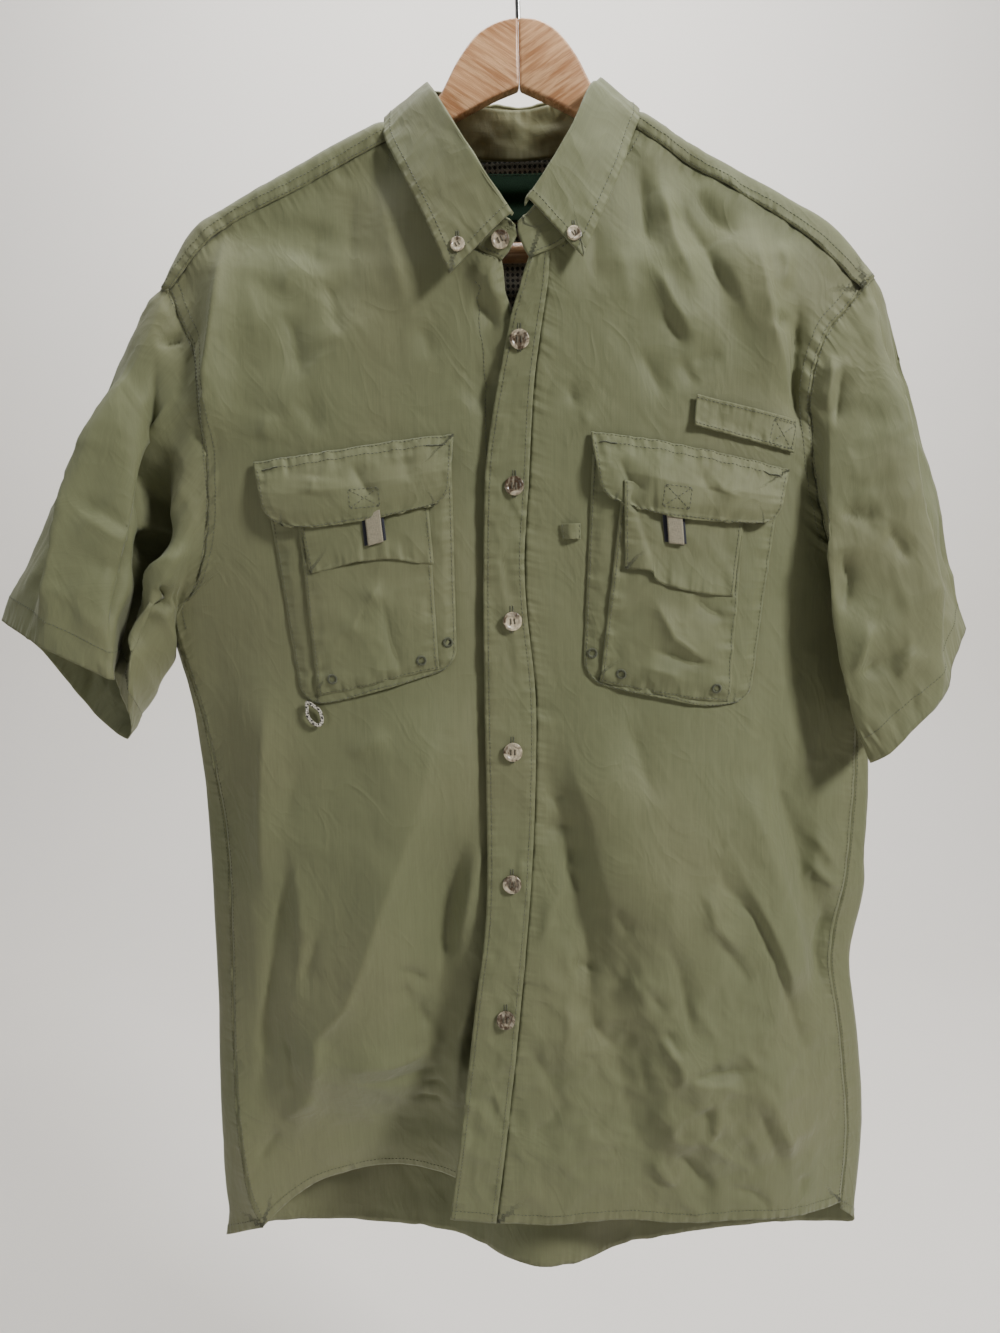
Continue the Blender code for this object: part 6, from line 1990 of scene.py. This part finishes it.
def button_model(across):
    """A four-hole horn button that faces up, with its sewing thread."""
    thick = BUTTON_THICK * MM
    cylinder = bpy.ops.mesh.primitive_cylinder_add
    button = fresh(cylinder, vertices=40, radius=across / 2, depth=thick, location=(0, 0, 0))
    inset(button, lambda f: f.normal.z > 0.9, (0.14 * across, 0), (0.05 * across, -0.2 * thick))
    inset(button, lambda f: f.normal.z < -0.9, (0.12 * across, 0.12 * thick))
    round_edges(button, 0.16 * thick, 3, 25)
    step = 0.105 * across
    for x in (-step, step):
        for y in (-step, step):
            drill = fresh(cylinder, vertices=14, radius=0.062 * across, depth=4 * thick, location=(x, y, 0))
            modify(button, "BOOLEAN", operation="DIFFERENCE", object=drill)
            bpy.data.objects.remove(drill)
    thread = material_of("button_thread", thread_look, (0.10, 0.085, 0.05))
    horn = material_of("mottled_horn", horn_look, colours().horn_light, colours().horn_dark)
    cover(button, horn, thread)
    for x in (-step, step):
        bar = fresh(cylinder, vertices=10, radius=0.045 * across, depth=2 * step + 0.06 * across,
                    location=(x, 0, 0.33 * thick), rotation=(math.pi / 2, 0, 0))
        bpy.ops.object.transform_apply(location=True, rotation=True, scale=True)
        inset(bar, lambda f: abs(f.normal.y) > 0.9, (0.018 * across, 0.015 * across))
        cover(bar, thread)
        only(button, bar)
        bpy.ops.object.join()
    only(button)
    smooth_below(35)
    return button


def stand_on(model, name, place, normal, turn=0.0, size=1.0):
    """A copy of a model that faces up, set at a place in metres so that it faces along the normal."""
    copy = model.copy()
    copy.data = model.data.copy()
    copy.name = copy.data.name = name
    bpy.context.scene.collection.objects.link(copy)
    n = Vector(normal).normalized()
    side = n.cross(Vector((0, 0, 1)).cross(n)).normalized().cross(n)
    basis = Matrix((side, n.cross(side), n)).transposed().to_4x4()
    turned_model = Matrix.Rotation(turn, 4, "Z") @ Matrix.Scale(size, 4)
    copy.data.transform(Matrix.Translation(Vector(place)) @ basis @ turned_model)
    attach(copy, "root")
    return copy


class SHIRT_OT_buttons(ShirtStep, bpy.types.Operator):
    """Makes the horn buttons"""

    bl_idname = "shirt.buttons"
    bl_label = "Buttons"

    def execute(self, context):
        shapes()
        large = button_model(BUTTON_ACROSS * MM)
        rise = BUTTON_THICK / 2 + 0.5

        def sew(grid, x, z, name, node, turn, across, lift=rise, outward=-1.0):
            point, normal = settle(grid, [(x, z)], outward=outward, lift=lift)
            button = stand_on(large, name, point[0] * MM, normal[0], turn, across / BUTTON_ACROSS)
            finish_piece(button, "horn", node)

        for number, (x, z) in enumerate(BUTTONS, 1):
            turn = 0.35 * math.sin(3.1 * number)
            sew(made["placket"], x, z, f"placket_button_{number}", f"button_{number}", turn, BUTTON_ACROSS)
        near = nearer_end(made["collar_stand"], 60, *STAND_BUTTON)
        sew(near, *STAND_BUTTON, "stand_button_horn", "stand_button", 0.4, STAND_BUTTON_ACROSS, outward=1.0)
        for side, x, z in COLLAR_BUTTONS:
            near = nearer_end(made["collar_leaf"], 90, x, z)
            sew(near, x, z, "collar_button_horn_" + side, "collar_button_" + side, 0.5, COLLAR_BUTTON_ACROSS,
                lift=rise * 0.75)
        bpy.data.objects.remove(large)
        return {"FINISHED"}


class SHIRT_OT_eyelets(ShirtStep, bpy.types.Operator):
    """Makes the stitched eyelets of the pockets"""

    bl_idname = "shirt.eyelets"
    bl_label = "Eyelets"

    def execute(self, context):
        shapes()
        outer, ring = EYELET_ACROSS * MM / 2, 0.85 * MM
        model = fresh(bpy.ops.mesh.primitive_torus_add, major_segments=48, minor_segments=10,
                      major_radius=outer - ring, minor_radius=ring, location=(0, 0, 0))
        for v in model.data.vertices:
            v.co.z *= 0.75 + 0.25 * math.cos(24 * math.atan2(v.co.y, v.co.x))
        cover(model, thread_material())
        # The hole is a disc of near-black cloth: painted shade for the dark seen through the eyelet.
        painted_shade_hole = fresh(bpy.ops.mesh.primitive_circle_add, vertices=32, radius=outer - ring * 1.2,
                     fill_type="NGON", location=(0, 0, -0.1 * MM))
        inset(painted_shade_hole, lambda f: True, (0.4 * MM, -0.35 * MM))
        cover(painted_shade_hole, painted_shade_hole_material())
        only(model, painted_shade_hole)
        bpy.ops.object.join()
        smooth_below(60)
        for number, (side, x, z, layer) in enumerate(EYELETS, 1):
            grid = made[("centre_stitch_" if layer == "centre" else "bag_") + side]
            point, normal = settle(grid, [(x, z)], lift=0.35)
            eyelet = stand_on(model, f"stitched_eyelet_{number}", point[0] * MM, normal[0])
            finish_piece(eyelet, "eyelet", f"eyelet_{number}")
        bpy.data.objects.remove(model)
        return {"FINISHED"}


def hook_wire():
    centre = -HOOK_RADIUS + HOOK_WIRE / 2
    path = [(0, -70.5), (0, -62), (0, -54), (1.5, -49)]
    for a in np.radians(range(-52, 226, 16)):
        path.append((HOOK_RADIUS * math.cos(a), centre + HOOK_RADIUS * math.sin(a)))
    path = smooth_line(path, 120)
    wire = fresh(bpy.ops.curve.primitive_bezier_curve_add, location=(0, 0, 0))
    wire.data.splines.clear()
    spline = wire.data.splines.new("POLY")
    spline.points.add(len(path) - 1)
    for point, (x, z) in zip(spline.points, path):
        point.co = (x * MM, 0, z * MM, 1)
    wire.data.dimensions = "3D"
    wire.data.bevel_depth = HOOK_WIRE / 2 * MM
    wire.data.bevel_resolution = 6
    wire.data.use_fill_caps = True
    bpy.ops.object.convert(target="MESH")
    smooth_below(50)
    cover(bpy.context.object, material_of("hook_steel", steel_look, colours().steel))
    finish_hard(bpy.context.object, "hook_wire", "steel", "hook")


class SHIRT_OT_hanger(ShirtStep, bpy.types.Operator):
    """Makes the wooden hanger and its wire hook"""

    bl_idname = "shirt.hanger"
    bl_label = "Hanger"

    def execute(self, context):
        for side, top, low, way, lean in (
            ("left", HANGER_TOP, HANGER_LOW, 1, 33),
            ("right", HANGER_TOP_RIGHT, HANGER_LOW_RIGHT, -1, -33),
        ):
            outline = np.concatenate([smooth_line(top, 70), smooth_line(low, 70)])
            arm = fresh(bpy.ops.mesh.primitive_circle_add, vertices=len(outline), radius=0.1,
                        fill_type="NGON", location=(0, 0, 0))
            for v, (x, z) in zip(arm.data.vertices, outline):
                v.co = (x * way * MM, -HANGER_THICK / 2 * MM, z * MM)
            select_faces(arm)
            bpy.ops.mesh.extrude_region_move(TRANSFORM_OT_translate={"value": (0, HANGER_THICK * MM, 0)})
            bpy.ops.mesh.select_all(action="SELECT")
            bpy.ops.mesh.normals_make_consistent(inside=False)
            bpy.ops.object.mode_set(mode="OBJECT")
            round_edges(arm, 2 * MM, 4, 50)
            smooth_below(30)
            cover(arm, wood_material("hanger_grain_" + side, lean))
            finish_hard(arm, "hanger_wood_" + side, "wood", "hanger_arm_" + side)
        rod = fresh(bpy.ops.mesh.primitive_cylinder_add, vertices=36, radius=HANGER_BAR_ACROSS / 2 * MM,
                    depth=HANGER_BAR_LONG * MM, rotation=(0, math.pi / 2, 0),
                    location=((HANGER_BAR_START + HANGER_BAR_LONG / 2) * MM, 0, HANGER_BAR_Z * MM))
        bpy.ops.object.transform_apply(location=True, rotation=True, scale=True)
        round_edges(rod, 0.6 * MM, 4, 50)
        smooth_below(30)
        cover(rod, wood_material("hanger_grain_rod", 0))
        finish_hard(rod, "hanger_rod", "wood", "hanger_bar")
        hook_wire()
        return {"FINISHED"}


# Stage

CAMERA_PLACE = (-0.0232, -0.7500, -0.4235)
CAMERA_PITCH = math.atan(1001 / 7512)
CAMERA_ROLL = math.atan2(-178, 7512)
FLOOR_Z = -1.5
WALL_Y = 2.4
WALL_BEND = 0.8


class SHIRT_OT_stage(ShirtStep, bpy.types.Operator):
    """Makes the camera, the lights and the backdrop"""

    bl_idname = "shirt.stage"
    bl_label = "Studio"

    def execute(self, context):
        scene, stage = bpy.context.scene, bpy.context.scene.shirt_stage
        data = bpy.data.cameras.new("camera")
        data.sensor_width, data.lens, data.clip_end = 36, stage.lens, 50
        camera = bpy.data.objects.new("camera", data)
        scene.collection.objects.link(camera)
        look = Vector((0, math.cos(CAMERA_PITCH), -math.sin(CAMERA_PITCH)))
        level, rise = Vector((1, 0, 0)), Vector((0, math.sin(CAMERA_PITCH), math.cos(CAMERA_PITCH)))
        right = level * math.cos(CAMERA_ROLL) + rise * math.sin(CAMERA_ROLL)
        up = rise * math.cos(CAMERA_ROLL) - level * math.sin(CAMERA_ROLL)
        basis = Matrix((right, up, -look)).transposed().to_4x4()
        camera.matrix_world = Matrix.Translation(CAMERA_PLACE) @ basis
        scene.camera = camera
        for name, power, size, place, target in (
            ("key_light", stage.key_power, 0.5, (1.9, -1.5, 1), (0, 0, -0.65)),
            ("fill_light", stage.fill_power, 0.8, (-2.1, -1.5, -0.2), (0, 0, -0.8)),
            ("backdrop_light", stage.rear_power, 2, (0, 0.5, 1.6), (0, 2.4, -0.5)),
        ):
            data = bpy.data.lights.new(name, "AREA")
            data.energy, data.size = power, size
            lamp = bpy.data.objects.new(name, data)
            scene.collection.objects.link(lamp)
            lamp.location = place
            lamp.rotation_euler = (Vector(target) - Vector(place)).to_track_quat("-Z", "Y").to_euler()
        world = scene.world or bpy.data.worlds.new("room")
        scene.world = world
        world.use_nodes = True
        background = world.node_tree.nodes["Background"]
        background.inputs["Color"].default_value = (0.97, 0.98, 1, 1)
        background.inputs["Strength"].default_value = stage.room
        bend = [(WALL_Y - WALL_BEND + WALL_BEND * math.sin(t), FLOOR_Z + WALL_BEND - WALL_BEND * math.cos(t))
                for t in np.linspace(0, math.pi / 2, 24)]
        profile = [(-6, FLOOR_Z), *bend, (WALL_Y, 5)]
        points = [(x, y, z) for y, z in profile for x in (-7, 7)]
        faces = [(2 * i, 2 * i + 1, 2 * i + 3, 2 * i + 2) for i in range(len(profile) - 1)]
        mesh = bpy.data.meshes.new("studio_backdrop")
        mesh.from_pydata(points, [], faces)
        mesh.shade_smooth()
        mesh.materials.append(material_of("backdrop_paint", wall_look, stage.wall))
        backdrop = bpy.data.objects.new("studio_backdrop", mesh)
        scene.collection.objects.link(backdrop)
        return {"FINISHED"}


class SHIRT_PT_panel(bpy.types.Panel):
    """Lists the shirt's sizes, colours and pieces."""

    bl_idname = "SHIRT_PT_panel"
    bl_label = "Utility shirt"
    bl_space_type = "VIEW_3D"
    bl_region_type = "UI"
    bl_category = "Shirt"

    def draw(self, context):
        scene = context.scene
        for group in (scene.shirt_sizes, scene.shirt_colours, scene.shirt_stage):
            box = self.layout.box()
            for name in group.bl_rna.properties.keys():
                if name not in ("rna_type", "name"):
                    box.prop(group, name)
        for operator in OPERATORS:
            self.layout.operator(operator.bl_idname)


OPERATORS = (
    SHIRT_OT_fronts, SHIRT_OT_back, SHIRT_OT_collar, SHIRT_OT_sleeves, SHIRT_OT_pockets, SHIRT_OT_strap,
    SHIRT_OT_stitching, SHIRT_OT_buttons, SHIRT_OT_eyelets, SHIRT_OT_hanger, SHIRT_OT_stage,
)
GROUPS = {"shirt_sizes": ShirtSizes, "shirt_colours": ShirtColours, "shirt_stage": ShirtStage}
CLASSES = (*GROUPS.values(), *OPERATORS, SHIRT_PT_panel)


def register():
    for item in CLASSES:
        bpy.utils.register_class(item)
    for name, group in GROUPS.items():
        setattr(bpy.types.Scene, name, PointerProperty(type=group))


def unregister():
    for name in GROUPS:
        delattr(bpy.types.Scene, name)
    for item in reversed(CLASSES):
        bpy.utils.unregister_class(item)


def main():
    register()
    bpy.ops.shirt.fronts()
    bpy.ops.shirt.back()
    bpy.ops.shirt.collar()
    bpy.ops.shirt.sleeves()
    bpy.ops.shirt.pockets()
    bpy.ops.shirt.strap()
    bpy.ops.shirt.stitching()
    bpy.ops.shirt.buttons()
    bpy.ops.shirt.eyelets()
    bpy.ops.shirt.hanger()
    bpy.ops.shirt.stage()


if __name__ == "__main__":
    main()
